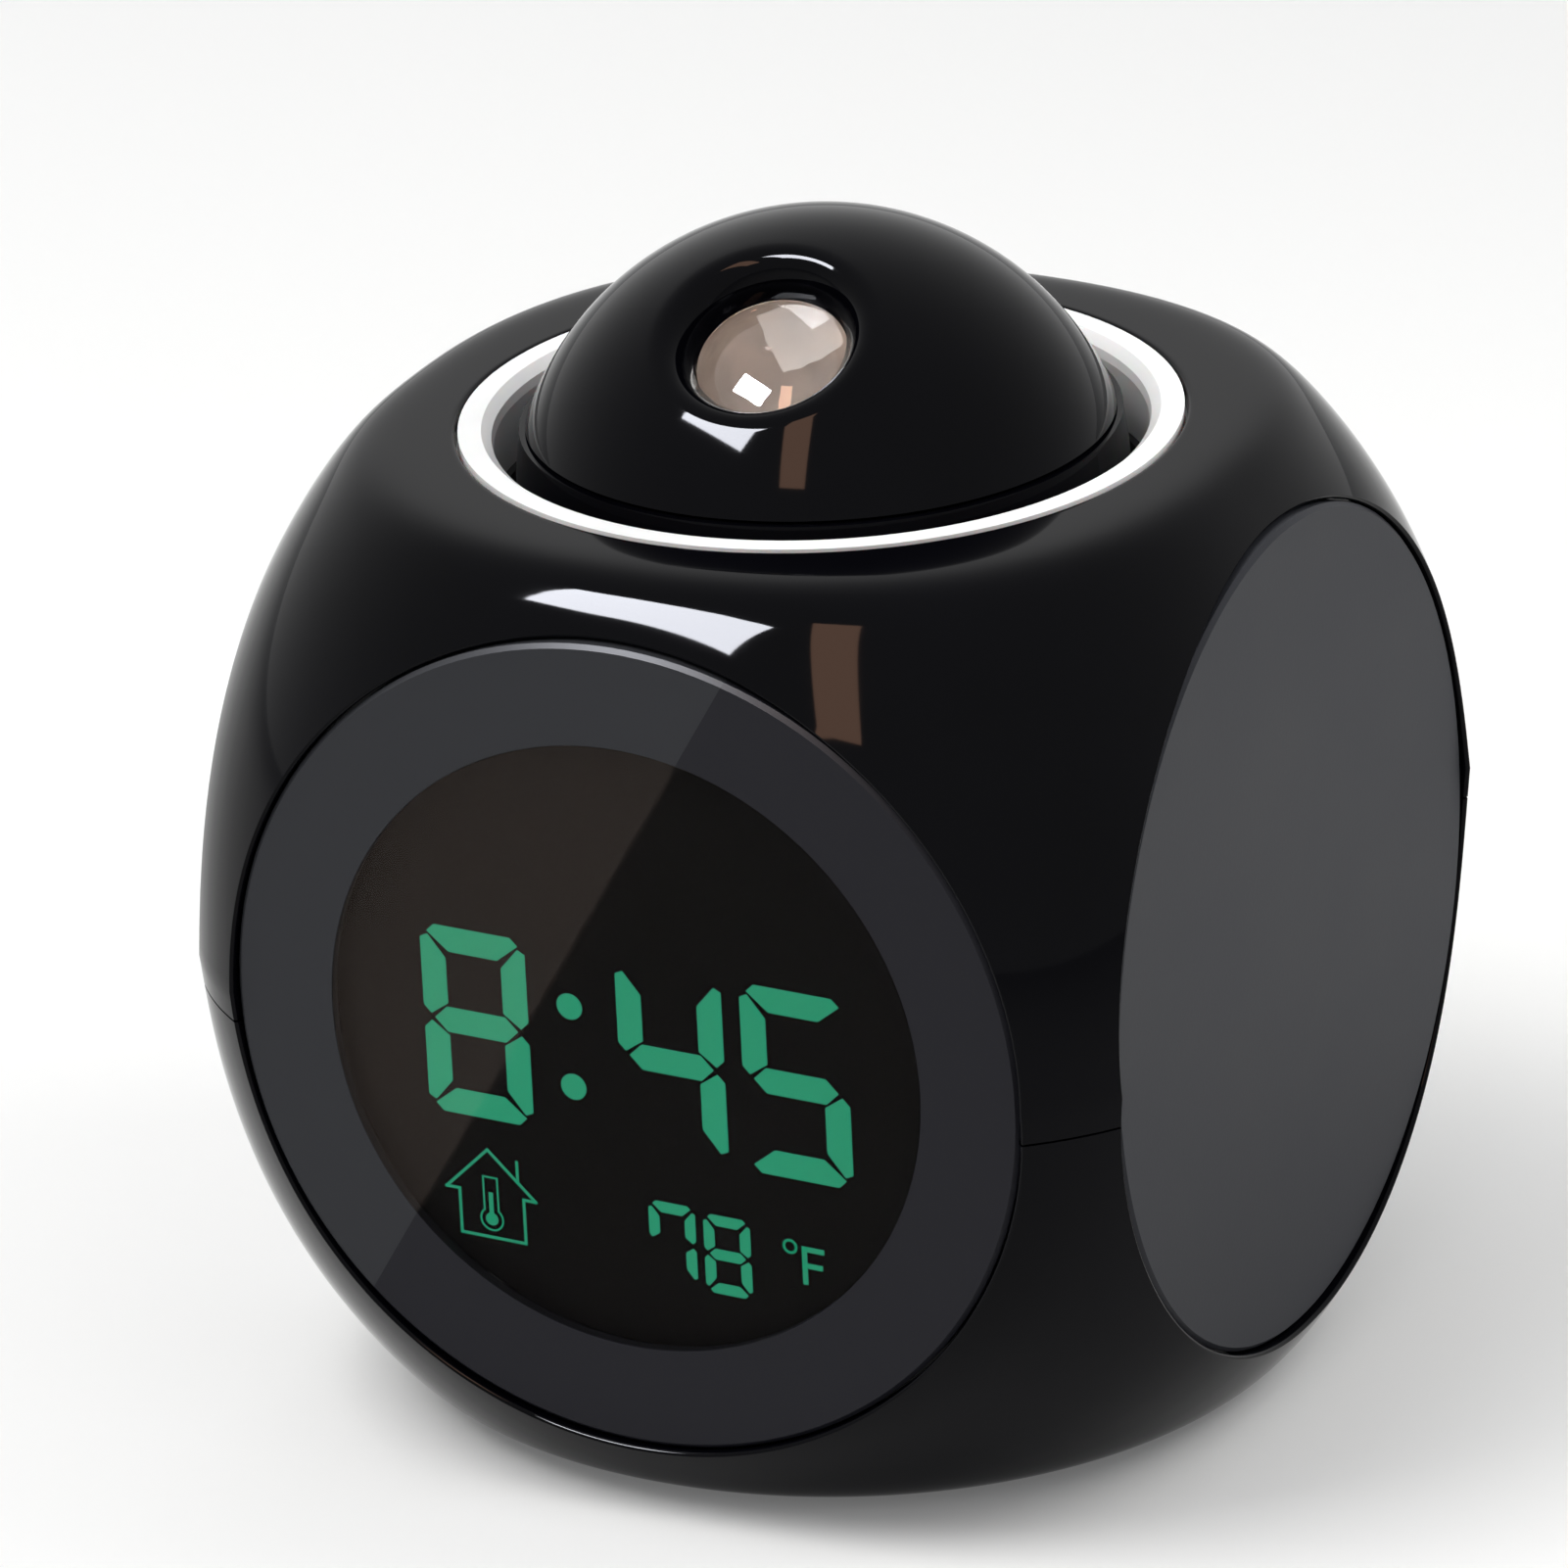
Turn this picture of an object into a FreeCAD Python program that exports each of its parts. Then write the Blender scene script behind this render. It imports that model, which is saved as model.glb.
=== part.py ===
"""Projection alarm clock: a rounded cube housing with a round display, a white ring and a dome projector.

Millimetres, +Z up, front towards -Y. The origin is on the table under the middle of the four feet.
Shapes are drawn about the middle of the cube and lifted onto the feet when they are written.
"""
import FreeCAD, Part
import math
import os
from FreeCAD import Placement, Rotation, Vector

# Housing form: a cube swelled between its six faces
BODY_REACH = 52.67        # half width that the swelled form would have without its flat faces
BODY_POWER = 2.855        # 2 is a ball, larger is squarer
BODY_HALF = 45.0          # middle of the cube to the outer face of each round panel
CROWN_BLEND = 1.2         # softness of the turn onto the flat top and bottom
CROWN_ANGLE = 57.0        # degrees above the middle where the form is closed by a flat
SECTION_COUNT = 7         # sections above the middle, and as many below it
SECTION_POINTS = 24       # points that each section's curve passes through
WALL = 2.2
PART_LINE = -3.0          # height of the joint between the two halves, from the middle
PART_GAP = 0.2            # fine line that shows all round between the halves
LIP_HEIGHT = 2.0
LIP_DEPTH = 3.0
LIP_WALL = 1.2
LIP_GAP = 0.15

# Round panels on four faces
PANEL_RADIUS = 38.5
PANEL_THICK = 1.8
PANEL_GAP = 0.2
PANEL_FLOOR = 2.0         # wall behind a panel
PANEL_EDGE = 0.4

# Display
LENS_RADIUS = 29.0
LENS_GAP = 0.06
LENS_FLANGE = 1.5
LENS_FLANGE_THICK = 0.7
LCD_WIDTH = 52.0
LCD_HEIGHT = 42.0
LCD_THICK = 1.8
LCD_GAP = 1.0
LCD_RISE = -4.0
SEAT_GAP = 0.05
FRAME_WIDTH = 56.0
FRAME_HEIGHT = 46.0
FRAME_DEPTH = 3.2
FRAME_BAR = 3.0
BACKLIGHT_THICK = 2.4
BOARD_WIDTH = 66.0
BOARD_HEIGHT = 48.0
BOARD_THICK = 1.6
BOARD_HOLE_INSET_X = 2.2
BOARD_HOLE_INSET_Z = 4.0
BOARD_BOSS_RADIUS = 2.1
GLOB_RADIUS = 7.0
GLOB_HEIGHT = 1.4
CAPACITOR_RADIUS = 2.5
CAPACITOR_HEIGHT = 3.0
CRYSTAL_LENGTH = 8.0
CRYSTAL_WIDTH = 3.0

# Small screws that hold the boards
SMALL_SHANK = 0.85
SMALL_HEAD = 1.8
SMALL_HEAD_HEIGHT = 1.2
SMALL_BITE = 2.5
PILOT_GAP = 0.05

# Rear keys
KEY_NAMES = ("mode_key", "set_key", "up_key", "down_key")
KEY_RADIUS = 3.2
KEY_PITCH = 14.0
KEY_ROW = 14.0
KEY_PROUD = 1.2
KEY_FLANGE_RADIUS = 4.4
KEY_FLANGE_THICK = 1.0
KEY_STEM_RADIUS = 2.0
KEY_STEM = 1.1
KEY_TRAVEL = 0.6
KEY_EDGE = 0.5
KEY_GAP = 0.3
KEY_SLOT_HEIGHT = 12.0
KEY_SLOT_MARGIN = 6.0
KEY_BOARD_HEIGHT = 14.0
KEY_BOARD_MARGIN = 11.0
KEY_POST_RADIUS = 2.2
KEY_POST_MARGIN = 8.5
SWITCH_WIDTH = 6.0
SWITCH_HEIGHT = 3.5
PLUNGER_RADIUS = 1.7
PLUNGER_HEIGHT = 0.6
REST_GAP = 0.1

# Speaker behind the grille
SPEAKER_RADIUS = 15.0
SPEAKER_RISE = -13.0
SPEAKER_RIM = 1.2
SPEAKER_FLANGE = 2.4
SPEAKER_MOUTH = 12.0      # inner radius of the rim
SPEAKER_DEPTH = 8.0
SPEAKER_SHEET = 0.8
MAGNET_RADIUS = 7.5
MAGNET_THICK = 3.5
CONE_CLEAR = 0.15
CONE_GAP = 0.6
GRILLE_RADIUS = 11.5
GRILLE_PITCH = 3.2
GRILLE_SLOT = 1.6
GRILLE_ROWS = 3

# Ring in the top and the cup under it
RING_RADIUS = 32.7
RING_TOP = 43.8
RING_FLAT = 2.1
RING_BORE = 29.5
RING_EASE = 0.2           # how far the turn into the bore stands back
RING_EASE_DROP = 0.8
RING_THROAT_DROP = 1.6
RING_DRAFT = 0.5
RING_FOOT = 36.2
RING_FOOT_OUTER = 30.8
RING_FLANGE_RADIUS = 34.5
RING_FLANGE_THICK = 1.4
RING_SEAT = 41.6
RING_GAP = 0.3
SEAT_RING_WALL = 1.5
CUP_WALL = 1.4
CUP_FLOOR_TOP = 22.0
CUP_FLOOR_THICK = 1.5
CUP_FLANGE_THICK = 1.6

# Sliding carrier and its spring
SLIDE_GAP = 0.3
CARRIER_WALL = 1.4
CARRIER_FLOOR = 30.0
CARRIER_FLOOR_THICK = 2.0
CARRIER_SKIRT = 2.0
HUB_RADIUS = 5.0
HUB_DEPTH = 4.2
PRESS_TRAVEL = 1.5
GUIDE_COUNT = 3
GUIDE_WIDTH = 3.0
GUIDE_REACH = 0.9
SPRING_RADIUS = 9.0
SPRING_WIRE = 0.7
SPRING_TURNS = 4.0
SPRING_SIDES = 6          # flats that stand in for the thin wire's round section
HEAD_SWITCH_HEIGHT = 1.4

# Turning head
DOME_RADIUS = 28.6
DOME_CENTRE = 33.6
DOME_WALL = 2.0
DOME_FOOT = 44.0
HEAD_GROOVE = 0.3
BASE_TOP_RADIUS = 27.2
BASE_FOOT_RADIUS = 28.3
BASE_WALL = 1.7
BASE_FLOOR_THICK = 1.8
SPIGOT_WALL = 1.3
SPIGOT_DEPTH = 3.0
SPIGOT_GAP = 0.2
PIVOT_RADIUS = 3.0
PIVOT_GAP = 0.05
PIVOT_LENGTH = 4.6
TURN_GAP = 0.1

# Projector, placed along its own tilted axis from the middle of the dome
LENS_TILT = 31.0          # degrees from upright, towards the front
LENS_HEADING = 6.5        # degrees from the front, towards +X
SINK_RADIUS = 9.0
SINK_FOOT = 24.4
OPTIC_RADIUS = 6.9
OPTIC_GAP = 0.1
OPTIC_EDGE = 1.5
OPTIC_CROWN = 2.0
OPTIC_FLANGE = 1.5
OPTIC_FLANGE_THICK = 0.9
OPTIC_SHOULDER = 21.5
BOSS_RADIUS = 10.4
BOSS_FOOT = 19.0
BARREL_WALL = 1.6
BARREL_FOOT = 11.0
SLIDE_PLATE = 1.0
SLIDE_HEIGHT = 13.2
LED_RADIUS = 2.5
LED_BODY = 0.8
PROJECTOR_BOARD = 1.2
FIT_GAP = 0.1

# Battery bay in the bottom
CELL_RADIUS = 5.25
CELL_LENGTH = 42.5
CELL_NUB_RADIUS = 1.9
CELL_NUB = 1.0
CELL_PITCH = 11.0
CELL_COUNT = 3
BAY_LENGTH = 50.0
BAY_WIDTH = 34.0
BAY_WALL = 1.5
BAY_ROOF_GAP = 0.6
DOOR_LENGTH = 52.0
DOOR_WIDTH = 36.0
DOOR_THICK = 1.8
DOOR_GAP = 0.3
DOOR_REST = 0.2
DOOR_CELL_GAP = 0.35
TAB_SPREAD = 15.0
TAB_WIDTH = 6.0
TAB_REACH = 1.4
TAB_THICK = 0.7
TAB_SLOT_RISE = 0.7
TAB_SLOT_DEPTH = 1.0
FINGER_GROOVES = 4
FINGER_PITCH = 2.2
FINGER_LENGTH = 14.0
FINGER_DEPTH = 0.5
FINGER_WIDTH = 1.0
CONTACT_WIDTH = 8.0
CONTACT_HEIGHT = 8.5
CONTACT_THICK = 0.5
CONTACT_DIMPLE = 2.0
CONTACT_DIMPLE_FOOT = 3.2

# Feet and the screws that join the halves
FOOT_RADIUS = 4.5
FOOT_PROUD = 1.0
FOOT_RECESS = 0.6
FOOT_X = 17.0
FOOT_Y = 28.5
FOOT_GAP = 0.1
FOOT_EDGE = 0.3
POST_X = 29.5
POST_Y = 21.5
POST_RADIUS = 4.2
POST_BORE = 2.9
POST_WEB = 6.0
BOSS_TOP = 12.0
CASE_BOSS_RADIUS = 3.4
CASE_SHANK = 1.3
CASE_SHANK_LENGTH = 14.0
PILOT_SPARE = 1.0         # depth left under a case screw's tip
CASE_HEAD = 2.6
CASE_HEAD_HEIGHT = 1.8
CASE_HOLE_GAP = 0.3
RIB_WALL = 1.6

# Values that follow from the ones above
PANEL_SEAT = BODY_HALF - PANEL_THICK
INNER_HALF = PANEL_SEAT - PANEL_FLOOR
LIFT = BODY_HALF + FOOT_PROUD
FAR = 3.0 * BODY_REACH
KEY_X = [(i - (len(KEY_NAMES) - 1) / 2.0) * KEY_PITCH for i in range(len(KEY_NAMES))]
ALONG_X = Vector(1, 0, 0)
ALONG_Y = Vector(0, 1, 0)
ALONG_Z = Vector(0, 0, 1)


def box(x0, x1, y0, y1, z0, z1):
    """Block between two corners."""
    return Part.makeBox(x1 - x0, y1 - y0, z1 - z0, Vector(x0, y0, z0))


def rod(radius, start, length, axis=ALONG_Z):
    """Cylinder from a start point along an axis."""
    return Part.makeCylinder(radius, length, start, axis)


def turned(outline):
    """Solid of revolution about Z from a closed outline of (radius, height) corners."""
    corners = [Vector(r, 0, z) for r, z in outline]
    face = Part.Face(Part.makePolygon(corners + corners[:1]))
    return face.revolve(Vector(0, 0, 0), ALONG_Z, 360)


def join(shapes):
    """One solid from overlapping shapes, with the seams taken out."""
    shapes = list(shapes)
    return shapes[0].fuse(shapes[1:]).removeSplitter()


def corner_points(x, y):
    """The four points that mirror one another about both centre planes."""
    return [(sx * x, sy * y) for sx in (-1, 1) for sy in (-1, 1)]


def section_wire(reach, height):
    """Closed smooth curve of the housing at one height."""
    points = []
    for i in range(SECTION_POINTS):
        angle = 2 * math.pi * i / SECTION_POINTS
        cosine = abs(math.cos(angle)) ** BODY_POWER
        sine = abs(math.sin(angle)) ** BODY_POWER
        radius = reach / (cosine + sine) ** (1 / BODY_POWER)
        points.append(Vector(radius * math.cos(angle), radius * math.sin(angle), height))
    curve = Part.BSplineCurve()
    curve.interpolate(Points=points, PeriodicFlag=True)
    return Part.Wire(curve.toShape())


def swelled_cube(reach, cap):
    """The housing's form: evenly swelled sides, turned softly onto a flat top and bottom."""
    wires = []
    for i in range(-SECTION_COUNT, SECTION_COUNT + 1):
        angle = math.radians(CROWN_ANGLE * abs(i) / SECTION_COUNT)
        spread = (math.cos(angle) ** BODY_POWER + math.sin(angle) ** BODY_POWER) ** (1 / BODY_POWER)
        height = reach * math.sin(angle) / spread
        soft = -CROWN_BLEND * math.log(math.exp(-height / CROWN_BLEND) + math.exp(-cap / CROWN_BLEND))
        rise = max(soft, 0.0) if i else 0.0
        wires.append(section_wire(reach * math.cos(angle) / spread, math.copysign(rise, i)))
    return Part.makeLoft(wires, True, False)


def square_core(half):
    """Block that keeps the inside clear of the flat walls behind the panels."""
    return box(-half, half, -half, half, -FAR, FAR)


def cavity(shrink):
    """The inside of the housing, drawn in from the wall's inner face by shrink."""
    form = swelled_cube(BODY_REACH - WALL - shrink, BODY_HALF - WALL - shrink)
    return form.common(square_core(INNER_HALF - shrink))


def band(low, high):
    """Everything between two heights."""
    return box(-FAR, FAR, -FAR, FAR, low, high)


def panel_pockets():
    """Round recesses for the four panels."""
    radius = PANEL_RADIUS + PANEL_GAP
    depth = FAR
    pockets = []
    for axis in (ALONG_X, ALONG_Y):
        for side in (-1, 1):
            pockets.append(rod(radius, axis * (side * PANEL_SEAT), depth, axis * side))
    return pockets


def housing_shell():
    """Both halves of the housing as one shell, with the holes that cross the joint."""
    shell = swelled_cube(BODY_REACH, BODY_HALF).cut(cavity(0.0))
    for pocket in panel_pockets():
        shell = shell.cut(pocket)
    half_x = LCD_WIDTH / 2 + LCD_GAP
    half_z = LCD_HEIGHT / 2 + LCD_GAP
    display = box(-half_x, half_x, -FAR, 0, LCD_RISE - half_z, LCD_RISE + half_z)
    key_half = KEY_X[-1] + KEY_SLOT_MARGIN
    keys = box(-key_half, key_half, 0, FAR, KEY_ROW - KEY_SLOT_HEIGHT / 2, KEY_ROW + KEY_SLOT_HEIGHT / 2)
    sound = rod(SPEAKER_RADIUS - SPEAKER_FLANGE, Vector(0, 0, SPEAKER_RISE), FAR, ALONG_Y)
    return shell.cut([display, keys, sound]).removeSplitter()


def board_boss(x, z):
    """Boss on the front wall for one screw of the main board."""
    root = PANEL_FLOOR / 2
    boss = rod(BOARD_BOSS_RADIUS, Vector(x, -INNER_HALF - root, z), FRAME_DEPTH + root, ALONG_Y)
    pilot = rod(SMALL_SHANK + PILOT_GAP, Vector(x, -INNER_HALF, z), FRAME_DEPTH, ALONG_Y)
    return boss.cut(pilot)


def board_holes():
    """Middles of the main board's screw holes as (x, z)."""
    x = BOARD_WIDTH / 2 - BOARD_HOLE_INSET_X
    z = BOARD_HEIGHT / 2 - BOARD_HOLE_INSET_Z
    return [(sx * x, LCD_RISE + sz * z) for sx in (-1, 1) for sz in (-1, 1)]


def key_board_face():
    """Depth of the key board's face that carries the switches."""
    key_foot = PANEL_SEAT - REST_GAP - KEY_FLANGE_THICK - KEY_STEM
    return key_foot - KEY_TRAVEL - REST_GAP - PLUNGER_HEIGHT - SWITCH_HEIGHT


def key_posts():
    """Posts on the rear wall that carry the key board."""
    face = key_board_face()
    posts = []
    for side in (-1, 1):
        x = side * (KEY_X[-1] + KEY_POST_MARGIN)
        foot = Vector(x, face, KEY_ROW)
        post = rod(KEY_POST_RADIUS, foot, INNER_HALF + PANEL_FLOOR / 2 - face, ALONG_Y)
        posts.append(post.cut(rod(SMALL_SHANK + PILOT_GAP, foot, INNER_HALF - face, ALONG_Y)))
    return posts


def upper_housing(shell):
    """Upper half: the ring's hole and seat, four case bosses on ribs and the board bosses."""
    half = shell.common(band(PART_LINE + PART_GAP, FAR))
    half = half.cut(rod(RING_RADIUS + RING_GAP, Vector(0, 0, 0), FAR))
    seat_low = RING_SEAT
    seat_high = BODY_HALF - WALL / 2
    inner = RING_RADIUS + RING_GAP
    seat = rod(inner + WALL + SEAT_RING_WALL, Vector(0, 0, seat_low), seat_high - seat_low)
    pieces = [half, seat.cut(rod(inner, Vector(0, 0, 0), FAR))]
    for x, y in corner_points(POST_X, POST_Y):
        pieces.append(rod(CASE_BOSS_RADIUS, Vector(x, y, PART_LINE), BOSS_TOP - PART_LINE))
        wall = math.copysign(INNER_HALF + PANEL_FLOOR / 2, x)
        rib_low = PART_LINE + LIP_HEIGHT + DOOR_GAP
        low_y = y - RIB_WALL / 2
        pieces.append(box(min(x, wall), max(x, wall), low_y, low_y + RIB_WALL, rib_low, BOSS_TOP))
    pieces += [board_boss(x, z) for x, z in board_holes() if z > PART_LINE]
    pieces += key_posts()
    half = join(pieces)
    pilots = []
    for x, y in corner_points(POST_X, POST_Y):
        depth = CASE_SHANK_LENGTH - POST_WEB + PILOT_SPARE
        pilots.append(rod(CASE_SHANK + PILOT_GAP, Vector(x, y, PART_LINE), depth))
    return half.cut(pilots)


def joint_lip():
    """Lip of the lower half that locates the upper half from inside."""
    core = cavity(LIP_GAP + LIP_WALL)
    root_core = cavity(LIP_GAP + LIP_WALL + LIP_GAP)
    low = cavity(-LIP_GAP).cut(root_core).common(band(PART_LINE - LIP_DEPTH, PART_LINE))
    high = cavity(LIP_GAP).cut(core).common(band(PART_LINE - LIP_DEPTH / 2, PART_LINE + LIP_HEIGHT))
    front = FRAME_WIDTH / 2 + BOARD_BOSS_RADIUS * 2 + FIT_GAP
    rear = SPEAKER_RADIUS + FIT_GAP
    gaps = [box(-front, front, -FAR, 0, -FAR, FAR), box(-rear, rear, 0, FAR, -FAR, FAR)]
    return [piece.cut(gaps) for piece in (low, high)]


def bay_roof():
    """Height of the battery bay's roof."""
    return cell_middle() + CELL_RADIUS + BAY_ROOF_GAP


def cell_middle():
    """Height of the cells' axes."""
    return -BODY_HALF + DOOR_THICK + DOOR_CELL_GAP + CELL_RADIUS


def tab_axis_y():
    """Front edge of the battery door, where its tabs stand and it turns."""
    return -DOOR_WIDTH / 2


def lower_housing(shell):
    """Lower half: battery bay, four screw posts, the joint's lip and the recesses for the feet."""
    half = shell.common(band(-FAR, PART_LINE)).removeSplitter()
    floor = -BODY_HALF
    bay_low = floor + DOOR_THICK + DOOR_REST
    length = BAY_LENGTH / 2
    width = BAY_WIDTH / 2
    bay_x = length + BAY_WALL
    bay_y = width + BAY_WALL
    roof = bay_roof()
    bay = box(-bay_x, bay_x, -bay_y, bay_y, bay_low, roof + BAY_WALL)
    post_low = floor + WALL / 2
    post_height = PART_LINE - post_low
    posts = [rod(POST_RADIUS, Vector(x, y, post_low), post_height) for x, y in corner_points(POST_X, POST_Y)]
    bosses = [board_boss(x, z) for x, z in board_holes() if z < PART_LINE]
    for group in ([bay], posts, bosses, *([piece] for piece in joint_lip())):
        half = join([half] + group)
    cuts = [box(-length, length, -width, width, -FAR, roof)]
    door_x = DOOR_LENGTH / 2 + DOOR_GAP
    door_y = DOOR_WIDTH / 2 + DOOR_GAP
    cuts.append(box(-door_x, door_x, -door_y, door_y, -FAR, bay_low))
    for side in (-1, 1):
        x = side * TAB_SPREAD
        wide = TAB_WIDTH / 2 + DOOR_GAP
        slot_y = tab_axis_y() - TAB_REACH - DOOR_GAP
        low = floor + DOOR_THICK - TAB_SLOT_DEPTH
        high = floor + DOOR_THICK + TAB_SLOT_RISE
        cuts.append(box(x - wide, x + wide, slot_y, -width + FIT_GAP, low, high))
    for x, y in corner_points(POST_X, POST_Y):
        cuts.append(rod(POST_BORE, Vector(x, y, -FAR), FAR + PART_LINE - POST_WEB))
        cuts.append(rod(CASE_SHANK + CASE_HOLE_GAP, Vector(x, y, -FAR), 2 * FAR))
    for x, y in corner_points(FOOT_X, FOOT_Y):
        cuts.append(rod(FOOT_RADIUS + FOOT_GAP, Vector(x, y, -FAR), FAR + floor + FOOT_RECESS))
    for hollow in cuts:
        half = half.cut(hollow)
    return half


def round_panel():
    """Plain round panel lying on the XY plane, its outer edge eased."""
    disc = rod(PANEL_RADIUS, Vector(0, 0, 0), PANEL_THICK)
    rim = [e for e in disc.Edges if e.BoundBox.ZMin > PANEL_THICK - SEAT_GAP]
    return disc.makeChamfer(PANEL_EDGE, rim)


def facing(shape, axis):
    """Lay a piece that was drawn on the XY plane against the seat on one face."""
    moved = shape.copy()
    moved.Placement = Placement(axis * PANEL_SEAT, Rotation(ALONG_Z, axis)).multiply(moved.Placement)
    return moved


def side_panel(side):
    """Satin panel on one side."""
    return facing(round_panel(), ALONG_X * side)


def front_bezel():
    """Ring round the display, rebated behind for the lens."""
    rebate = rod(LENS_RADIUS + LENS_FLANGE + FIT_GAP, Vector(0, 0, 0), LENS_FLANGE_THICK + LENS_GAP)
    ring = round_panel().cut([rod(LENS_RADIUS, Vector(0, 0, 0), PANEL_THICK), rebate])
    return facing(ring, -ALONG_Y)


def display_lens():
    """Clear lens that stands flush in the bezel."""
    front = rod(LENS_RADIUS - LENS_GAP, Vector(0, 0, 0), PANEL_THICK - SEAT_GAP)
    flange = rod(LENS_RADIUS + LENS_FLANGE, Vector(0, 0, 0), LENS_FLANGE_THICK)
    return facing(front.fuse(flange).removeSplitter(), -ALONG_Y)


def front_plate(width, height, near, thick):
    """Upright plate behind the display, its front face at near, centred on the display."""
    low = LCD_RISE - height / 2
    return box(-width / 2, width / 2, near, near + thick, low, low + height)


def lcd_glass():
    """Liquid crystal panel in the front wall's opening."""
    return front_plate(LCD_WIDTH, LCD_HEIGHT, -INNER_HALF - SEAT_GAP - LCD_THICK, LCD_THICK)


def lcd_frame():
    """Frame behind the panel that holds the backlight and stands off the board."""
    outer = front_plate(FRAME_WIDTH, FRAME_HEIGHT, -INNER_HALF, FRAME_DEPTH)
    inner = front_plate(FRAME_WIDTH - 2 * FRAME_BAR, FRAME_HEIGHT - 2 * FRAME_BAR, -INNER_HALF, FRAME_DEPTH)
    return outer.cut(inner)


def backlight():
    """Light guide behind the panel."""
    inset = 2 * (FRAME_BAR + FIT_GAP)
    return front_plate(FRAME_WIDTH - inset, FRAME_HEIGHT - inset, -INNER_HALF + SEAT_GAP, BACKLIGHT_THICK)


def main_board():
    """Circuit board behind the display."""
    board = front_plate(BOARD_WIDTH, BOARD_HEIGHT, -INNER_HALF + FRAME_DEPTH, BOARD_THICK)
    hole = SMALL_SHANK + 2 * PILOT_GAP
    return board.cut([rod(hole, Vector(x, -FAR, z), FAR, ALONG_Y) for x, z in board_holes()])


def board_parts():
    """Chip under its round glob, two capacitors and a crystal on the main board."""
    back = -INNER_HALF + FRAME_DEPTH + BOARD_THICK
    edge = GLOB_HEIGHT / 3
    flat = GLOB_RADIUS / 2
    glob = turned([(0, 0), (GLOB_RADIUS, 0), (GLOB_RADIUS, edge), (flat, GLOB_HEIGHT), (0, GLOB_HEIGHT)])
    glob.Placement = Placement(Vector(0, back, LCD_RISE), Rotation(ALONG_Z, ALONG_Y))
    pieces = [glob]
    for side in (-1, 1):
        start = Vector(side * BOARD_WIDTH / 4, back, LCD_RISE + BOARD_HEIGHT / 4)
        pieces.append(rod(CAPACITOR_RADIUS, start, CAPACITOR_HEIGHT, ALONG_Y))
    low = LCD_RISE - BOARD_HEIGHT / 3
    half = CRYSTAL_LENGTH / 2
    pieces.append(box(-half, half, back, back + CRYSTAL_WIDTH, low, low + CRYSTAL_WIDTH))
    return Part.makeCompound(pieces)


def small_screw(start, axis):
    """Board screw with its head's seat at start, the shank running along axis."""
    shank = rod(SMALL_SHANK, start, BOARD_THICK + SMALL_BITE, axis)
    head = rod(SMALL_HEAD, start - axis * SMALL_HEAD_HEIGHT, SMALL_HEAD_HEIGHT, axis)
    return shank.fuse(head).removeSplitter()


def board_screws():
    """Screws of both circuit boards."""
    back = -INNER_HALF + FRAME_DEPTH + BOARD_THICK
    screws = [small_screw(Vector(x, back, z), -ALONG_Y) for x, z in board_holes()]
    for side in (-1, 1):
        x = side * (KEY_X[-1] + KEY_POST_MARGIN)
        screws.append(small_screw(Vector(x, key_board_face() - BOARD_THICK, KEY_ROW), ALONG_Y))
    return Part.makeCompound(screws)


def rear_panel():
    """Round rear panel with the key holes and the slots of the speaker grille."""
    panel = facing(round_panel(), ALONG_Y)
    cuts = [rod(KEY_RADIUS + KEY_GAP, Vector(x, 0, KEY_ROW), FAR, ALONG_Y) for x in KEY_X]
    for row in range(-GRILLE_ROWS, GRILLE_ROWS + 1):
        rise = row * GRILLE_PITCH
        half = math.sqrt(GRILLE_RADIUS ** 2 - rise ** 2) - GRILLE_SLOT / 2
        height = SPEAKER_RISE + rise
        slot = box(-half, half, 0, FAR, height - GRILLE_SLOT / 2, height + GRILLE_SLOT / 2)
        ends = [rod(GRILLE_SLOT / 2, Vector(side * half, 0, height), FAR, ALONG_Y) for side in (-1, 1)]
        cuts.append(slot.fuse(ends))
    return panel.cut(cuts)


def key(x):
    """One rear key: eased cap, flange behind the panel and the stem over its switch."""
    back = PANEL_SEAT - REST_GAP
    cap = rod(KEY_RADIUS, Vector(x, back, KEY_ROW), BODY_HALF + KEY_PROUD - back, ALONG_Y)
    rim = [e for e in cap.Edges if e.BoundBox.YMin > BODY_HALF]
    cap = cap.makeChamfer(KEY_EDGE, rim)
    flange = rod(KEY_FLANGE_RADIUS, Vector(x, back - KEY_FLANGE_THICK, KEY_ROW), KEY_FLANGE_THICK, ALONG_Y)
    foot = back - KEY_FLANGE_THICK - KEY_STEM
    stem = rod(KEY_STEM_RADIUS, Vector(x, foot, KEY_ROW), KEY_STEM, ALONG_Y)
    return join([cap, flange, stem])


def key_board():
    """Strip of circuit board under the keys."""
    face = key_board_face()
    half = KEY_X[-1] + KEY_BOARD_MARGIN
    low = KEY_ROW - KEY_BOARD_HEIGHT / 2
    board = box(-half, half, face - BOARD_THICK, face, low, low + KEY_BOARD_HEIGHT)
    x = KEY_X[-1] + KEY_POST_MARGIN
    hole = SMALL_SHANK + 2 * PILOT_GAP
    return board.cut([rod(hole, Vector(side * x, 0, KEY_ROW), FAR, ALONG_Y) for side in (-1, 1)])


def push_switch(height):
    """Push switch standing on the XY plane."""
    half = SWITCH_WIDTH / 2
    body = box(-half, half, -half, half, 0, height)
    return body.fuse(rod(PLUNGER_RADIUS, Vector(0, 0, height), PLUNGER_HEIGHT)).removeSplitter()


def key_switches():
    """One push switch under each key."""
    switches = []
    for x in KEY_X:
        switch = push_switch(SWITCH_HEIGHT)
        switch.Placement = Placement(Vector(x, key_board_face(), KEY_ROW), Rotation(ALONG_Z, ALONG_Y))
        switches.append(switch)
    return Part.makeCompound(switches)


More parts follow.
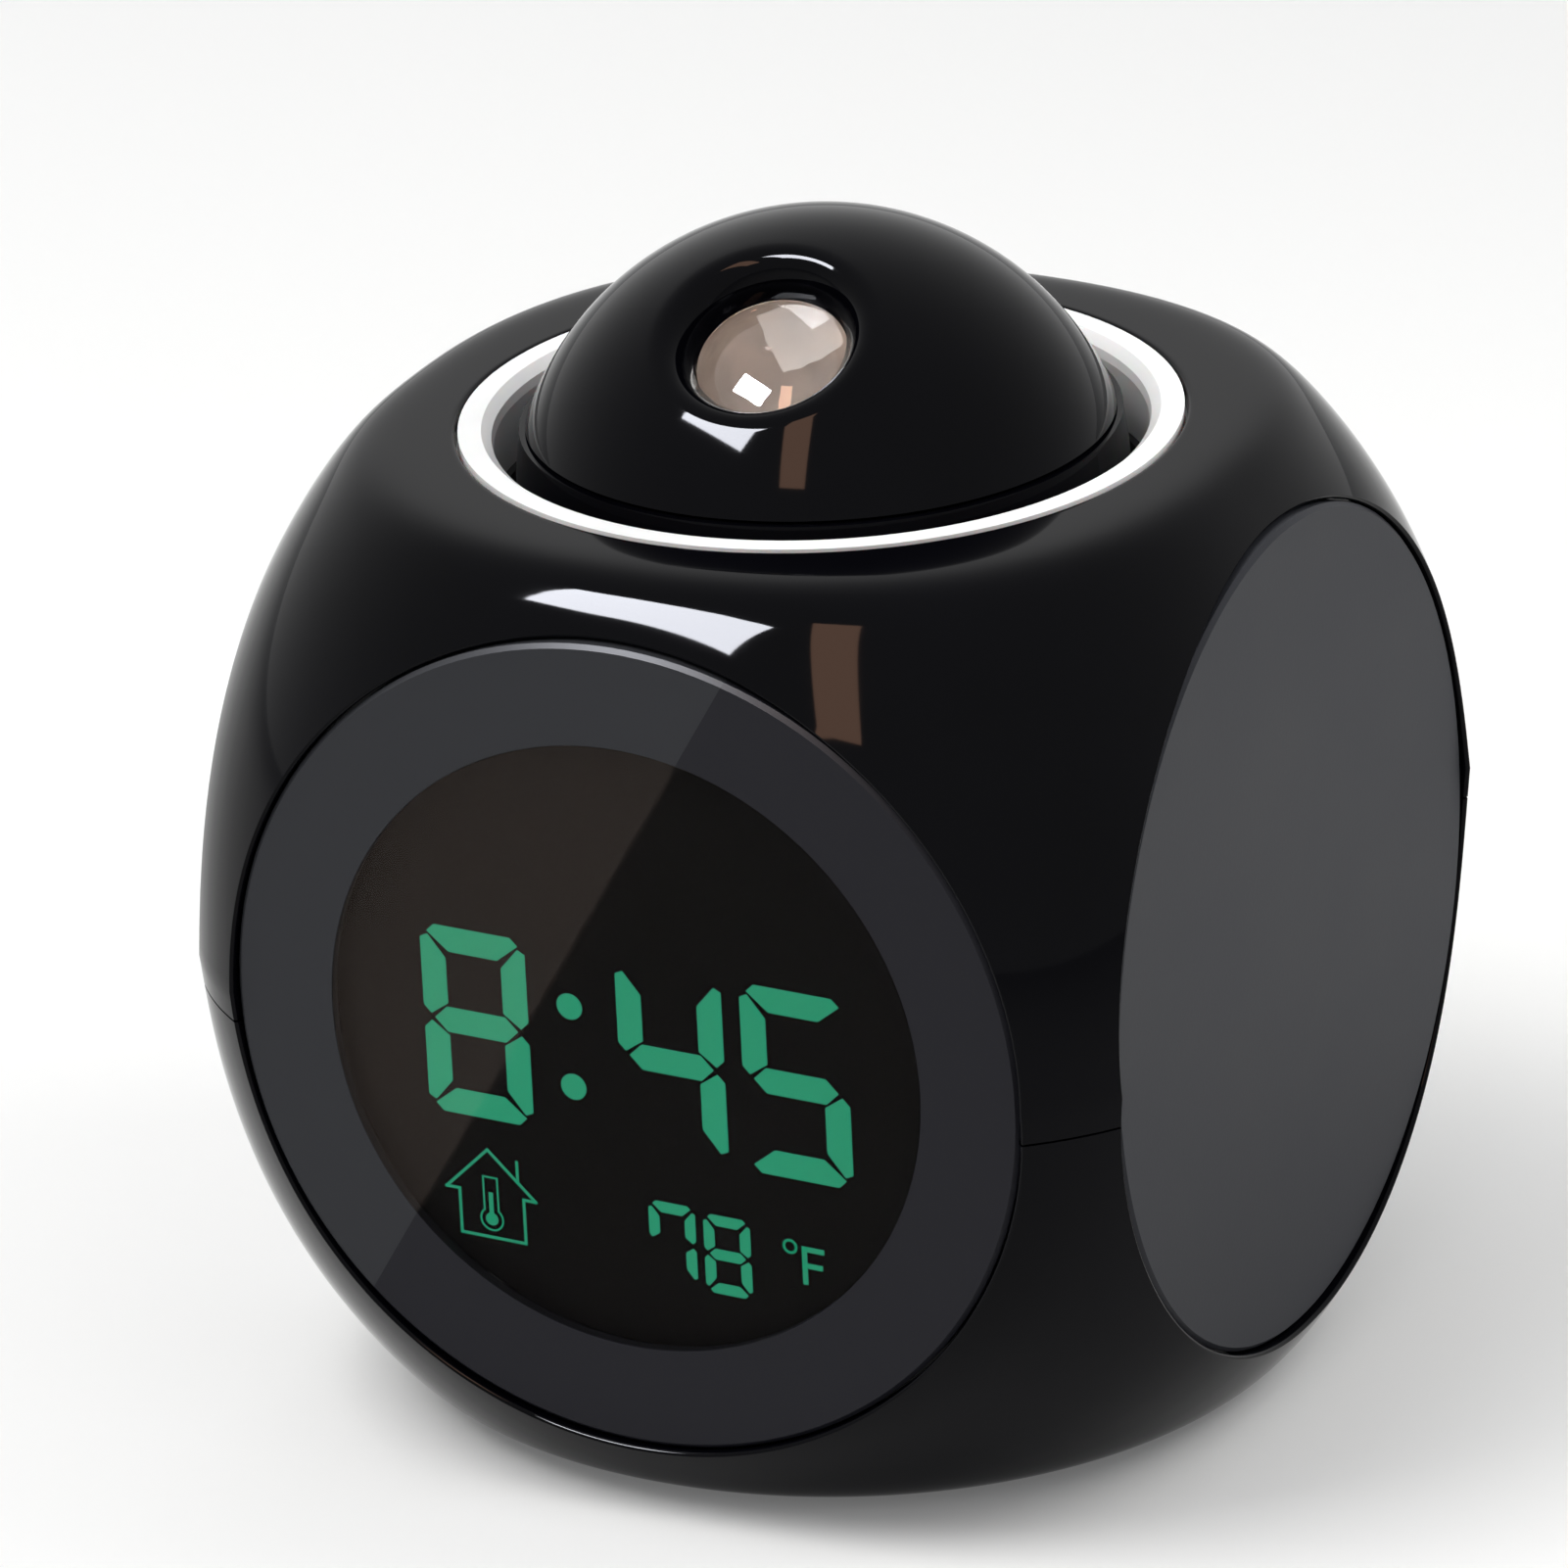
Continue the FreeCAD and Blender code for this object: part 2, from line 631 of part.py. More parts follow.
def on_rear_wall(shape):
    """Turn a speaker piece drawn downwards from its rim against the rear wall."""
    placed = shape.copy()
    placed.Placement = Placement(Vector(0, INNER_HALF, SPEAKER_RISE), Rotation(ALONG_Z, ALONG_Y))
    return placed


def speaker_basket():
    """Pressed steel basket of the speaker."""
    foot = -SPEAKER_DEPTH + MAGNET_THICK
    sheet_top = foot + SPEAKER_SHEET
    outline = [(SPEAKER_RADIUS, 0), (SPEAKER_RADIUS, -SPEAKER_RIM)]
    outline += [(SPEAKER_RADIUS - SPEAKER_FLANGE, -SPEAKER_RIM), (MAGNET_RADIUS, foot), (0, foot)]
    outline += [(0, sheet_top), (MAGNET_RADIUS - SPEAKER_RIM, sheet_top), (SPEAKER_MOUTH, 0)]
    return on_rear_wall(turned(outline))


def speaker_cone():
    """Paper cone with its dust cap."""
    foot = -SPEAKER_DEPTH + MAGNET_THICK + SPEAKER_SHEET + CONE_CLEAR
    rim = SPEAKER_MOUTH - CONE_GAP
    inner = MAGNET_RADIUS - SPEAKER_RIM - CONE_GAP
    sheet = SPEAKER_SHEET / 2
    cap = inner / 2
    outline = [(0, foot), (inner, foot), (rim, -sheet), (rim, 0), (inner, foot + sheet), (cap, foot + sheet)]
    return on_rear_wall(turned(outline + [(0, foot + 3 * sheet)]))


def speaker_magnet():
    """Magnet on the back of the basket."""
    return on_rear_wall(rod(MAGNET_RADIUS, Vector(0, 0, -SPEAKER_DEPTH), MAGNET_THICK))


def light_ring():
    """White ring in the top, with the flange that holds it from below."""
    flange_low = RING_SEAT - RING_FLANGE_THICK
    outline = [(RING_RADIUS, RING_TOP), (RING_RADIUS - RING_FLAT, RING_TOP)]
    outline += [(RING_BORE + RING_EASE, RING_TOP - RING_EASE_DROP), (RING_BORE, RING_TOP - RING_THROAT_DROP)]
    outline += [(RING_BORE + RING_DRAFT, RING_FOOT), (RING_FOOT_OUTER, RING_FOOT)]
    outline += [(RING_FOOT_OUTER, flange_low), (RING_FLANGE_RADIUS, flange_low)]
    return turned(outline + [(RING_FLANGE_RADIUS, RING_SEAT), (RING_RADIUS, RING_SEAT)])


def guide_bars(reach, wide, low, high):
    """Upright bars round the carrier that keep it from turning."""
    bars = []
    for i in range(GUIDE_COUNT):
        bar = box(RING_FOOT_OUTER - CARRIER_WALL / 2, RING_FOOT_OUTER + reach, -wide / 2, wide / 2, low, high)
        bar.rotate(Vector(0, 0, 0), ALONG_Z, 90 + i * 360 / GUIDE_COUNT)
        bars.append(bar)
    return bars


def projector_chassis():
    """Cup under the ring that guides the carrier and seats its spring and switch."""
    inner = RING_FOOT_OUTER + SLIDE_GAP
    outer = inner + CUP_WALL
    top = RING_SEAT - RING_FLANGE_THICK
    low = CUP_FLOOR_TOP - CUP_FLOOR_THICK
    outline = [(inner, top), (inner, CUP_FLOOR_TOP), (0, CUP_FLOOR_TOP), (0, low), (outer, low)]
    outline += [(outer, top - CUP_FLANGE_THICK), (RING_FLANGE_RADIUS, top - CUP_FLANGE_THICK)]
    cup = turned(outline + [(RING_FLANGE_RADIUS, top)])
    slot_low = CARRIER_FLOOR - CARRIER_SKIRT - PRESS_TRAVEL - SLIDE_GAP
    return cup.cut(guide_bars(GUIDE_REACH + SLIDE_GAP, GUIDE_WIDTH + 2 * SLIDE_GAP, slot_low, RING_FOOT))


def head_switch():
    """Push switch on the floor of the cup."""
    switch = push_switch(HEAD_SWITCH_HEIGHT)
    switch.translate(Vector(0, 0, CUP_FLOOR_TOP))
    return switch


def coil_point(share):
    """Point on the spring's centre line, from 0 at its foot to 1 at its top."""
    angle = 2 * math.pi * SPRING_TURNS * share
    height = CARRIER_FLOOR - CUP_FLOOR_TOP - SPRING_WIRE
    return Vector(SPRING_RADIUS * math.cos(angle), SPRING_RADIUS * math.sin(angle), height * share)


def coil_heading(share):
    """Direction of the spring's centre line at the same point."""
    angle = 2 * math.pi * SPRING_TURNS * share
    turn = 2 * math.pi * SPRING_TURNS * SPRING_RADIUS
    height = CARRIER_FLOOR - CUP_FLOOR_TOP - SPRING_WIRE
    return Vector(-turn * math.sin(angle), turn * math.cos(angle), height).normalize()


def arc_from(start, heading, end):
    """Arc that leaves start along a heading and ends at end."""
    chord = end - start
    side = heading.cross(chord).cross(heading).normalize()
    radius = chord.dot(chord) / (2 * chord.dot(side))
    centre = start + side * radius
    crest = ((start + end) * 0.5 - centre).normalize()
    return Part.Arc(start, centre + crest * radius, end).toShape()


def biarc(start, heading, end, end_heading):
    """Two arcs that join two points of a smooth curve with its headings kept."""
    gap = end - start
    spread = 2 * (1 - heading.dot(end_heading))
    lean = 2 * gap.dot(heading + end_heading)
    reach = (math.sqrt(lean ** 2 + 4 * spread * gap.dot(gap)) - lean) / (2 * spread)
    middle = (start + end + (heading - end_heading) * reach) * 0.5
    return [arc_from(start, heading, middle), arc_from(end, end_heading * -1, middle)]


def head_spring():
    """Open coil spring between the cup's floor and the carrier, on arcs of under a quarter turn."""
    steps = int(SPRING_TURNS * 4)
    arcs = []
    for i in range(steps):
        low = i / steps
        high = (i + 1) / steps
        arcs += biarc(coil_point(low), coil_heading(low), coil_point(high), coil_heading(high))
    across = coil_heading(0).cross(ALONG_X)
    corners = []
    for i in range(SPRING_SIDES):
        angle = 2 * math.pi * i / SPRING_SIDES
        outward = ALONG_X * math.cos(angle) + across * math.sin(angle)
        corners.append(coil_point(0) + outward * (SPRING_WIRE / 2))
    section = Part.makePolygon(corners + corners[:1])
    coil = Part.Wire(arcs).makePipeShell([section], True, False)
    coil.translate(Vector(0, 0, CUP_FLOOR_TOP + SPRING_WIRE / 2))
    return coil


def head_carrier():
    """Plunger that slides in the cup, with the hub that the head turns in."""
    outer = RING_FOOT_OUTER
    inner = outer - CARRIER_WALL
    top = RING_FOOT - TURN_GAP
    floor_top = CARRIER_FLOOR + CARRIER_FLOOR_THICK
    low = CARRIER_FLOOR - CARRIER_SKIRT
    outline = [(0, floor_top), (inner, floor_top), (inner, top), (outer, top), (outer, low), (inner, low)]
    outline += [(inner, CARRIER_FLOOR), (HUB_RADIUS, CARRIER_FLOOR), (HUB_RADIUS, CARRIER_FLOOR - HUB_DEPTH)]
    body = turned(outline + [(0, CARRIER_FLOOR - HUB_DEPTH)])
    bars = guide_bars(GUIDE_REACH, GUIDE_WIDTH, low, top - CARRIER_WALL)
    bore_depth = PIVOT_LENGTH + 2 * TURN_GAP
    bore = rod(PIVOT_RADIUS + PIVOT_GAP, Vector(0, 0, floor_top - bore_depth), bore_depth)
    return join([body] + bars).cut(bore)


def dome_base():
    """Turning base of the head, with its skirt and pivot."""
    low = CARRIER_FLOOR + CARRIER_FLOOR_THICK + TURN_GAP
    floor_top = low + BASE_FLOOR_THICK
    top = DOME_FOOT - HEAD_GROOVE
    pivot_low = low - PIVOT_LENGTH
    outline = [(0, pivot_low), (PIVOT_RADIUS, pivot_low), (PIVOT_RADIUS, low), (BASE_FOOT_RADIUS, low)]
    outline += [(BASE_FOOT_RADIUS, floor_top), (BASE_TOP_RADIUS, top), (BASE_TOP_RADIUS - BASE_WALL, top)]
    return turned(outline + [(BASE_TOP_RADIUS - BASE_WALL, floor_top), (0, floor_top)])


def lens_axis():
    """Placement of the projector: Z along its axis, the origin in the middle of the dome."""
    tilt = Rotation(ALONG_X, LENS_TILT)
    heading = Rotation(ALONG_Z, LENS_HEADING)
    return Placement(Vector(0, 0, DOME_CENTRE), heading.multiply(tilt))


def on_axis(shape):
    """Put a projector piece on the tilted axis."""
    placed = shape.copy()
    placed.Placement = lens_axis()
    return placed


def dome_cap():
    """Domed cap with the boss and countersink of the projector."""
    centre = Vector(0, 0, DOME_CENTRE)
    outer = Part.makeSphere(DOME_RADIUS, centre)
    inner = Part.makeSphere(DOME_RADIUS - DOME_WALL, centre)
    shell = outer.cut(inner).common(band(DOME_FOOT, FAR))
    spigot_outer = BASE_TOP_RADIUS - BASE_WALL - SPIGOT_GAP
    ring = rod(spigot_outer, Vector(0, 0, DOME_FOOT - SPIGOT_DEPTH), SPIGOT_DEPTH + DOME_WALL / 2)
    ring = ring.cut(rod(spigot_outer - SPIGOT_WALL, Vector(0, 0, 0), FAR))
    boss = on_axis(rod(BOSS_RADIUS, Vector(0, 0, BOSS_FOOT), DOME_RADIUS - BOSS_FOOT)).common(outer)
    cap = join([shell, ring, boss])
    bore = OPTIC_RADIUS + OPTIC_GAP
    mouth = math.sqrt(DOME_RADIUS ** 2 - SINK_RADIUS ** 2)
    slope = (SINK_RADIUS - bore) / (mouth - SINK_FOOT)
    top = DOME_RADIUS + DOME_WALL
    sink = turned([(0, SINK_FOOT), (bore, SINK_FOOT), (bore + slope * (top - SINK_FOOT), top), (0, top)])
    through = rod(bore, Vector(0, 0, OPTIC_SHOULDER), SINK_FOOT - OPTIC_SHOULDER + FIT_GAP)
    seat = rod(OPTIC_RADIUS + BARREL_WALL + FIT_GAP, Vector(0, 0, 0), OPTIC_SHOULDER)
    return cap.cut([on_axis(sink), on_axis(through), on_axis(seat)])


def projection_lens():
    """Domed lens with its flange, held against the shoulder of the dome."""
    low = OPTIC_SHOULDER - OPTIC_FLANGE_THICK - SEAT_GAP
    edge = OPTIC_SHOULDER + OPTIC_EDGE
    curve = (OPTIC_RADIUS ** 2 + OPTIC_CROWN ** 2) / (2 * OPTIC_CROWN)
    body = rod(OPTIC_RADIUS, Vector(0, 0, low), edge + OPTIC_CROWN - low)
    crown = Part.makeSphere(curve, Vector(0, 0, edge + OPTIC_CROWN - curve))
    flange = rod(OPTIC_RADIUS + OPTIC_FLANGE, Vector(0, 0, low), OPTIC_FLANGE_THICK)
    return on_axis(body.common(crown).fuse(flange).removeSplitter())


def lens_barrel():
    """Tube behind the lens."""
    top = OPTIC_SHOULDER - OPTIC_FLANGE_THICK - 2 * SEAT_GAP
    tube = rod(OPTIC_RADIUS + BARREL_WALL, Vector(0, 0, BARREL_FOOT), top - BARREL_FOOT)
    return on_axis(tube.cut(rod(OPTIC_RADIUS + FIT_GAP, Vector(0, 0, 0), FAR)))


def projector_slide():
    """Small liquid crystal disc whose picture the lens throws."""
    return on_axis(rod(OPTIC_RADIUS, Vector(0, 0, SLIDE_HEIGHT), SLIDE_PLATE))


def projector_led():
    """Lamp under the slide."""
    body = rod(LED_RADIUS, Vector(0, 0, BARREL_FOOT), LED_BODY)
    flat = LED_RADIUS / 2
    tip = turned([(0, 0), (LED_RADIUS, 0), (flat, flat / 2), (0, flat / 2)])
    tip.translate(Vector(0, 0, BARREL_FOOT + LED_BODY))
    return on_axis(body.fuse(tip).removeSplitter())


def projector_board():
    """Round board that closes the barrel."""
    low = BARREL_FOOT - PROJECTOR_BOARD
    return on_axis(rod(OPTIC_RADIUS + BARREL_WALL, Vector(0, 0, low), PROJECTOR_BOARD))


def battery_door():
    """Door in the bottom with two hinge tabs and finger grooves."""
    floor = -BODY_HALF
    length = DOOR_LENGTH / 2
    width = DOOR_WIDTH / 2
    door = box(-length, length, -width, width, floor, floor + DOOR_THICK)
    pieces = [door]
    top = floor + DOOR_THICK
    for side in (-1, 1):
        x = side * TAB_SPREAD
        half = TAB_WIDTH / 2
        edge = tab_axis_y()
        pieces.append(box(x - half, x + half, edge - TAB_REACH, edge + TAB_REACH, top - TAB_THICK, top))
    grooves = []
    half = FINGER_LENGTH / 2
    for i in range(FINGER_GROOVES):
        low = width - (i + 2) * FINGER_PITCH - FINGER_WIDTH / 2
        grooves.append(box(-half, half, low, low + FINGER_WIDTH, floor, floor + FINGER_DEPTH))
    return join(pieces).cut(grooves)


def cell_rows():
    """Across positions of the cells, with the end that each nub points to."""
    return [((i - (CELL_COUNT - 1) / 2.0) * CELL_PITCH, -1 if i % 2 else 1) for i in range(CELL_COUNT)]


def battery_cells():
    """Three AAA cells, head to tail."""
    cells = []
    for y, way in cell_rows():
        start = -way * (CELL_LENGTH + CELL_NUB) / 2
        body = rod(CELL_RADIUS, Vector(start, y, cell_middle()), CELL_LENGTH, ALONG_X * way)
        nub_start = Vector(start + way * CELL_LENGTH, y, cell_middle())
        cells.append(body.fuse(rod(CELL_NUB_RADIUS, nub_start, CELL_NUB, ALONG_X * way)).removeSplitter())
    return Part.makeCompound(cells)


def battery_contacts():
    """Sprung contact plates at both ends of the bay."""
    plates = []
    wall = BAY_LENGTH / 2
    room = wall - (CELL_LENGTH + CELL_NUB) / 2 - CONTACT_THICK - FIT_GAP
    for y, _ in cell_rows():
        for side in (-1, 1):
            plate_y = y - CONTACT_WIDTH / 2
            plate_z = cell_middle() - CONTACT_HEIGHT / 2
            plate = Part.makeBox(CONTACT_THICK, CONTACT_WIDTH, CONTACT_HEIGHT)
            low_x = wall - CONTACT_THICK if side > 0 else -wall
            plate.translate(Vector(low_x, plate_y, plate_z))
            start = Vector(side * (wall - CONTACT_THICK), y, cell_middle())
            bump = Part.makeCone(CONTACT_DIMPLE_FOOT, CONTACT_DIMPLE, room, start, ALONG_X * -side)
            plates.append(plate.fuse(bump).removeSplitter())
    return Part.makeCompound(plates)


def rubber_feet():
    """Four glued feet."""
    feet = []
    for x, y in corner_points(FOOT_X, FOOT_Y):
        foot = rod(FOOT_RADIUS, Vector(x, y, -BODY_HALF - FOOT_PROUD), FOOT_PROUD + FOOT_RECESS)
        rim = [e for e in foot.Edges if e.BoundBox.ZMax < -BODY_HALF]
        feet.append(foot.makeChamfer(FOOT_EDGE, rim))
    return Part.makeCompound(feet)


def case_screws():
    """Four screws from the bottom that join the halves."""
    screws = []
    for x, y in corner_points(POST_X, POST_Y):
        seat = Vector(x, y, PART_LINE - POST_WEB)
        shank = rod(CASE_SHANK, seat, CASE_SHANK_LENGTH)
        head = rod(CASE_HEAD, seat - ALONG_Z * CASE_HEAD_HEIGHT, CASE_HEAD_HEIGHT)
        screws.append(shank.fuse(head).removeSplitter())
    return Part.makeCompound(screws)


def all_nodes():
    """Every node of the clock under its name."""
    shell = housing_shell()
    nodes = {
        "upper_housing": upper_housing(shell),
        "lower_housing": lower_housing(shell),
        "front_bezel": front_bezel(),
        "display_lens": display_lens(),
        "lcd_glass": lcd_glass(),
        "lcd_frame": lcd_frame(),
        "backlight": backlight(),
        "main_board": main_board(),
        "board_parts": board_parts(),
        "board_screws": board_screws(),
        "side_panel_left": side_panel(-1),
        "side_panel_right": side_panel(1),
        "rear_panel": rear_panel(),
        "key_board": key_board(),
        "key_switches": key_switches(),
        "speaker_basket": speaker_basket(),
        "speaker_cone": speaker_cone(),
        "speaker_magnet": speaker_magnet(),
        "light_ring": light_ring(),
        "projector_chassis": projector_chassis(),
        "head_switch": head_switch(),
        "head_spring": head_spring(),
        "head_carrier": head_carrier(),
        "dome_base": dome_base(),
        "dome_cap": dome_cap(),
        "projection_lens": projection_lens(),
        "lens_barrel": lens_barrel(),
        "projector_slide": projector_slide(),
        "projector_led": projector_led(),
        "projector_board": projector_board(),
        "battery_door": battery_door(),
        "battery_cells": battery_cells(),
        "battery_contacts": battery_contacts(),
        "rubber_feet": rubber_feet(),
        "case_screws": case_screws(),
    }
    for name, x in zip(KEY_NAMES, KEY_X):
        nodes[name] = key(x)
    return nodes


def main():
    """Write each node, lifted so that the feet stand on the origin's plane."""
    os.makedirs("parts", exist_ok=True)
    for name, shape in all_nodes().items():
        shape.translate(Vector(0, 0, LIFT))
        good = shape.isValid() and all(solid.isClosed() for solid in shape.Solids)
        print(name, len(shape.Solids), "solid(s)", round(shape.Volume, 1), "mm3", "ok" if good else "BAD")
        shape.exportStep("parts/" + name + ".step")


main()
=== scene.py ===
"""The looks of the projection alarm clock: finishes, lit display, studio and camera."""
import math

import bmesh
import bpy
from mathutils import Matrix, Vector


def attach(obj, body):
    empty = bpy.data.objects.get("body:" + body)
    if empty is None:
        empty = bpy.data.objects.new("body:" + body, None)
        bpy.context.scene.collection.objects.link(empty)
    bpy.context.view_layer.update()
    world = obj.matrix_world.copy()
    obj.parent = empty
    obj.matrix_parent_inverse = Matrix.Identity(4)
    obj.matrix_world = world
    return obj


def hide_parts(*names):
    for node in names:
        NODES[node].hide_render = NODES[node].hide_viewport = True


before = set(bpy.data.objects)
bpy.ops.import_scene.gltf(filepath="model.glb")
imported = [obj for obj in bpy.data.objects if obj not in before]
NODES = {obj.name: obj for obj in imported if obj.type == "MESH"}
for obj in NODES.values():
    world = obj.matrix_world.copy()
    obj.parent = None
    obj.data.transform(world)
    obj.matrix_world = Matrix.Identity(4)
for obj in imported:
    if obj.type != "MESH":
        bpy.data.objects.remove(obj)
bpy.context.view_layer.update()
MM = 0.001

# Height of the clock's middle above the table
MIDDLE = 46.0 * MM

# Camera, from the photo's perspective, in metres from the clock's middle
IMAGE_SIDE = 1601
SENSOR = 36.0
FOCAL_PIXELS = 12864.2
NEAR_CLIP = 0.01
CAMERA_SPOT = Vector((0.47124, -0.94457, 0.45455))
CAMERA_FORWARD = Vector((-0.41497, 0.82213, -0.38974))
CAMERA_UP = Vector((-0.13183, 0.36951, 0.91983))

# Housing form in millimetres from the clock's middle: each level section is a squared circle
REACH = 53.9                  # half width at the middle
POWER = 2.95                  # squareness of the section at the middle
TOP = (60.5, 2.27, 2.356)     # height that the sides would close at, their curve, squareness at the top
FOOT = (60.56, 2.466, 2.051)  # the same below
HALF = 45.0                   # to the flat bottom
CROWN = 43.7                  # to the flat top, just under the white ring's
CROWN_BLEND = 1.2
SIDE_HIGH = 41.5              # where the sides end and the top or bottom begins
PANEL_HOLE = 38.7
PANEL_SEAT = 43.2
SEAT_WIDTH = 4.0
RIM_ROUND = 0.35
RING_HOLE = 33.0
RING_SEAT = 41.6
FLAT_EDGE = 40.0              # radius inside which the bottom is flat
WINDOW_RADIUS = 29.4          # the opening that the display is seen through
WALL = 2.0
DOOR_OPENING = (26.3, 18.3)
BAY_OPENING = (25.0, 17.0)
BAY_ROOF = -31.75
DOOR_LEDGE = -43.0
SCREW_SPOT = (29.5, 21.5)
SCREW_HOLE = 2.9
SCREW_SEAT = -9.0
SCREW_STEPS = 32
PART_LINE = -3.0
PART_GAP = 0.2
PART_RETURN = 0.965           # share of the outline that the return at the joint narrows to
EDGE_STEPS = 72
SIDE_ROWS = 20
CAP_ROWS = 36
ROUND_STEPS = 4
HALVINGS = 40
NEAR_CLOSE = 0.99999
WELD_MM = 0.002
SHARP_ANGLE = math.radians(38)

# Dome and its countersink in millimetres, along the projector's tilted axis from the ball's middle
DOME_RADIUS = 28.6
DOME_CENTRE = 33.6
DOME_FOOT = 44.0
DOME_LIP = 26.6
LENS_TILT = 31.0
LENS_HEADING = 6.5
BORE = 7.0
BORE_FOOT = 21.5
SINK_FOOT = 24.4
SINK_RADIUS = 9.0
SINK_ROUND = 1.7
DOME_STEPS = 192
DOME_ROWS = 48
SINK_STEPS = 12

# Ends of the straight edge of the painted reflection across the display's face in millimetres from the
# clock's middle
GLARE_EDGE_TOP = (11.19, 35.91)
GLARE_EDGE_FOOT = (-26.46, -27.15)

# Display layout in millimetres, to the right and up from the clock's middle
LCD_FACE = 43.12
PRINT_THICK = 0.05
FILM_RADIUS = 29.3
FILM_THICK = 0.04
FILM_STEPS = 96
ROW_DROP = -0.033             # fall of the rows to the right, per millimetre
TIME_DIGITS = (("8", -15.5, -1.1), ("4", 3.8, -1.2), ("5", 16.0, -1.2))
COLON_LEFT = -6.1
COLON_HEIGHTS = (2.4, -5.4)
COLON_RADIUS = 1.25
DEGREE_DIGITS = (("7", 3.0, -18.9), ("8", 8.4, -19.2))
TIME_HEIGHT = 18.2
TIME_WIDTH = 10.4
TIME_BAR = 2.45
TIME_GAP = 0.34
DEGREE_HEIGHT = 7.7
DEGREE_WIDTH = 4.6
DEGREE_BAR = 1.05
DEGREE_GAP = 0.22
LINE_WIDTH = 0.27
FINE_LINE = 0.16
RING_LINE = 0.22
STEM_LINE = 0.42
LETTER_LINE = 0.5
DEGREE_MARK = (14.6, -17.0, 0.6)
DEGREE_MARK_STEPS = 16
BULB_STEPS = 18
DISC_STEPS = 32

# Floor in metres, and the little light of its own that it shows to the camera and in gloss
FLOOR_SIDE = 8.0
FLOOR_CELLS = 4
FLOOR_LIFT = 0.1

# A colour Mix node's sockets, and the middle part of a noise's values, where nearly all of them lie
MIX_AMOUNT = 0
MIX_A = 6
MIX_B = 7
MIX_RESULT = 2
NOISE_RANGE = {"From Min": 0.35, "From Max": 0.65, "To Min": 0.0, "To Max": 1.0}

SEGMENTS = {"8": "abcdefg", "4": "bcfg", "5": "acdfg", "7": "abcf"}


def linear(code):
    """Linear colour of an sRGB hex value."""
    parts = [int(code[i:i + 2], 16) / 255 for i in (0, 2, 4)]
    return [c / 12.92 if c <= 0.04045 else ((c + 0.055) / 1.055) ** 2.4 for c in parts] + [1.0]


def add_node(tree, kind, settings=None, links=None):
    """One shader node with its values, and links as {its socket: (node, that node's socket)}."""
    node = tree.nodes.new(kind)
    for name, value in (settings or {}).items():
        if isinstance(name, int) or name in node.inputs:
            node.inputs[name].default_value = value
        else:
            setattr(node, name, value)
    for name, (source, socket) in (links or {}).items():
        tree.links.new(source.outputs[socket], node.inputs[name])
    return node


def new_material(name, settings):
    """Material with one surface shader; gives also its tree, shader and Object coordinates in millimetres."""
    material = bpy.data.materials.new(name)
    material.use_nodes = True
    tree = material.node_tree
    tree.nodes.clear()
    surface = add_node(tree, "ShaderNodeBsdfPrincipled", settings)
    output = add_node(tree, "ShaderNodeOutputMaterial")
    tree.links.new(surface.outputs["BSDF"], output.inputs["Surface"])
    place = add_node(tree, "ShaderNodeTexCoord")
    scaled = add_node(tree, "ShaderNodeMapping", {"Scale": (1000, 1000, 1000)}, {"Vector": (place, "Object")})
    return material, tree, surface, scaled


def grain(name, settings, light, dark, grain_mm, rough, bump_mm, coarse_mm=14.0):
    """Moulded or coated finish: fine grain in height, slow change in colour and gloss."""
    material, tree, surface, place = new_material(name, settings)
    slow = add_node(tree, "ShaderNodeTexNoise", {"Scale": 1 / coarse_mm, "Detail": 3.0},
                    {"Vector": (place, "Vector")})
    mixed = add_node(tree, "ShaderNodeMapRange", NOISE_RANGE, {"Value": (slow, "Fac")})
    colours = {"data_type": "RGBA", MIX_A: linear(dark), MIX_B: linear(light)}
    shade = add_node(tree, "ShaderNodeMix", colours, {MIX_AMOUNT: (mixed, "Result")})
    tree.links.new(shade.outputs[MIX_RESULT], surface.inputs["Base Color"])
    limits = {**NOISE_RANGE, "To Min": rough[0], "To Max": rough[1]}
    gloss = add_node(tree, "ShaderNodeMapRange", limits, {"Value": (slow, "Fac")})
    tree.links.new(gloss.outputs["Result"], surface.inputs["Roughness"])
    if bump_mm:
        fine = add_node(tree, "ShaderNodeTexNoise", {"Scale": 1 / grain_mm, "Detail": 2.0},
                        {"Vector": (place, "Vector")})
        bump = add_node(tree, "ShaderNodeBump", {"Strength": 1.0, "Distance": bump_mm * MM},
                        {"Height": (fine, "Fac")})
        tree.links.new(bump.outputs["Normal"], surface.inputs["Normal"])
    return material


# Injection moulded ABS from a polished tool: deep black, mirror gloss that varies slowly.
# The black finishes have a lower IOR than the resin's 1.5, because the photo's gloss shows no white surround.
GLOSS_BLACK = grain("gloss_black_abs", {"IOR": 1.15}, "040407", "020204", 30.0, (0.03, 0.06), 0.0, 26.0)
# ABS from a fine spark-eroded tool: very dark grey with a soft sheen
SATIN_BLACK = grain("satin_black_abs", {"IOR": 1.2}, "2c2d31", "26272b", 0.35, (0.42, 0.48), 0.006)
# Key caps in the same resin, a little lighter from handling
KEY_ABS = grain("key_abs", {"IOR": 1.3}, "34353a", "2b2c30", 0.3, (0.36, 0.44), 0.006)
# Battery door: plain moulded ABS
DOOR_ABS = grain("door_abs", {"IOR": 1.45}, "1c1c1f", "151517", 0.5, (0.4, 0.5), 0.01)
# White ABS ring, satin, faintly translucent
WHITE_SETTINGS = {"IOR": 1.46, "Subsurface Weight": 0.1, "Subsurface Scale": 0.002}
WHITE_ABS = grain("white_abs", WHITE_SETTINGS, "f4f3f1", "ebeae8", 0.6, (0.32, 0.4), 0.004)
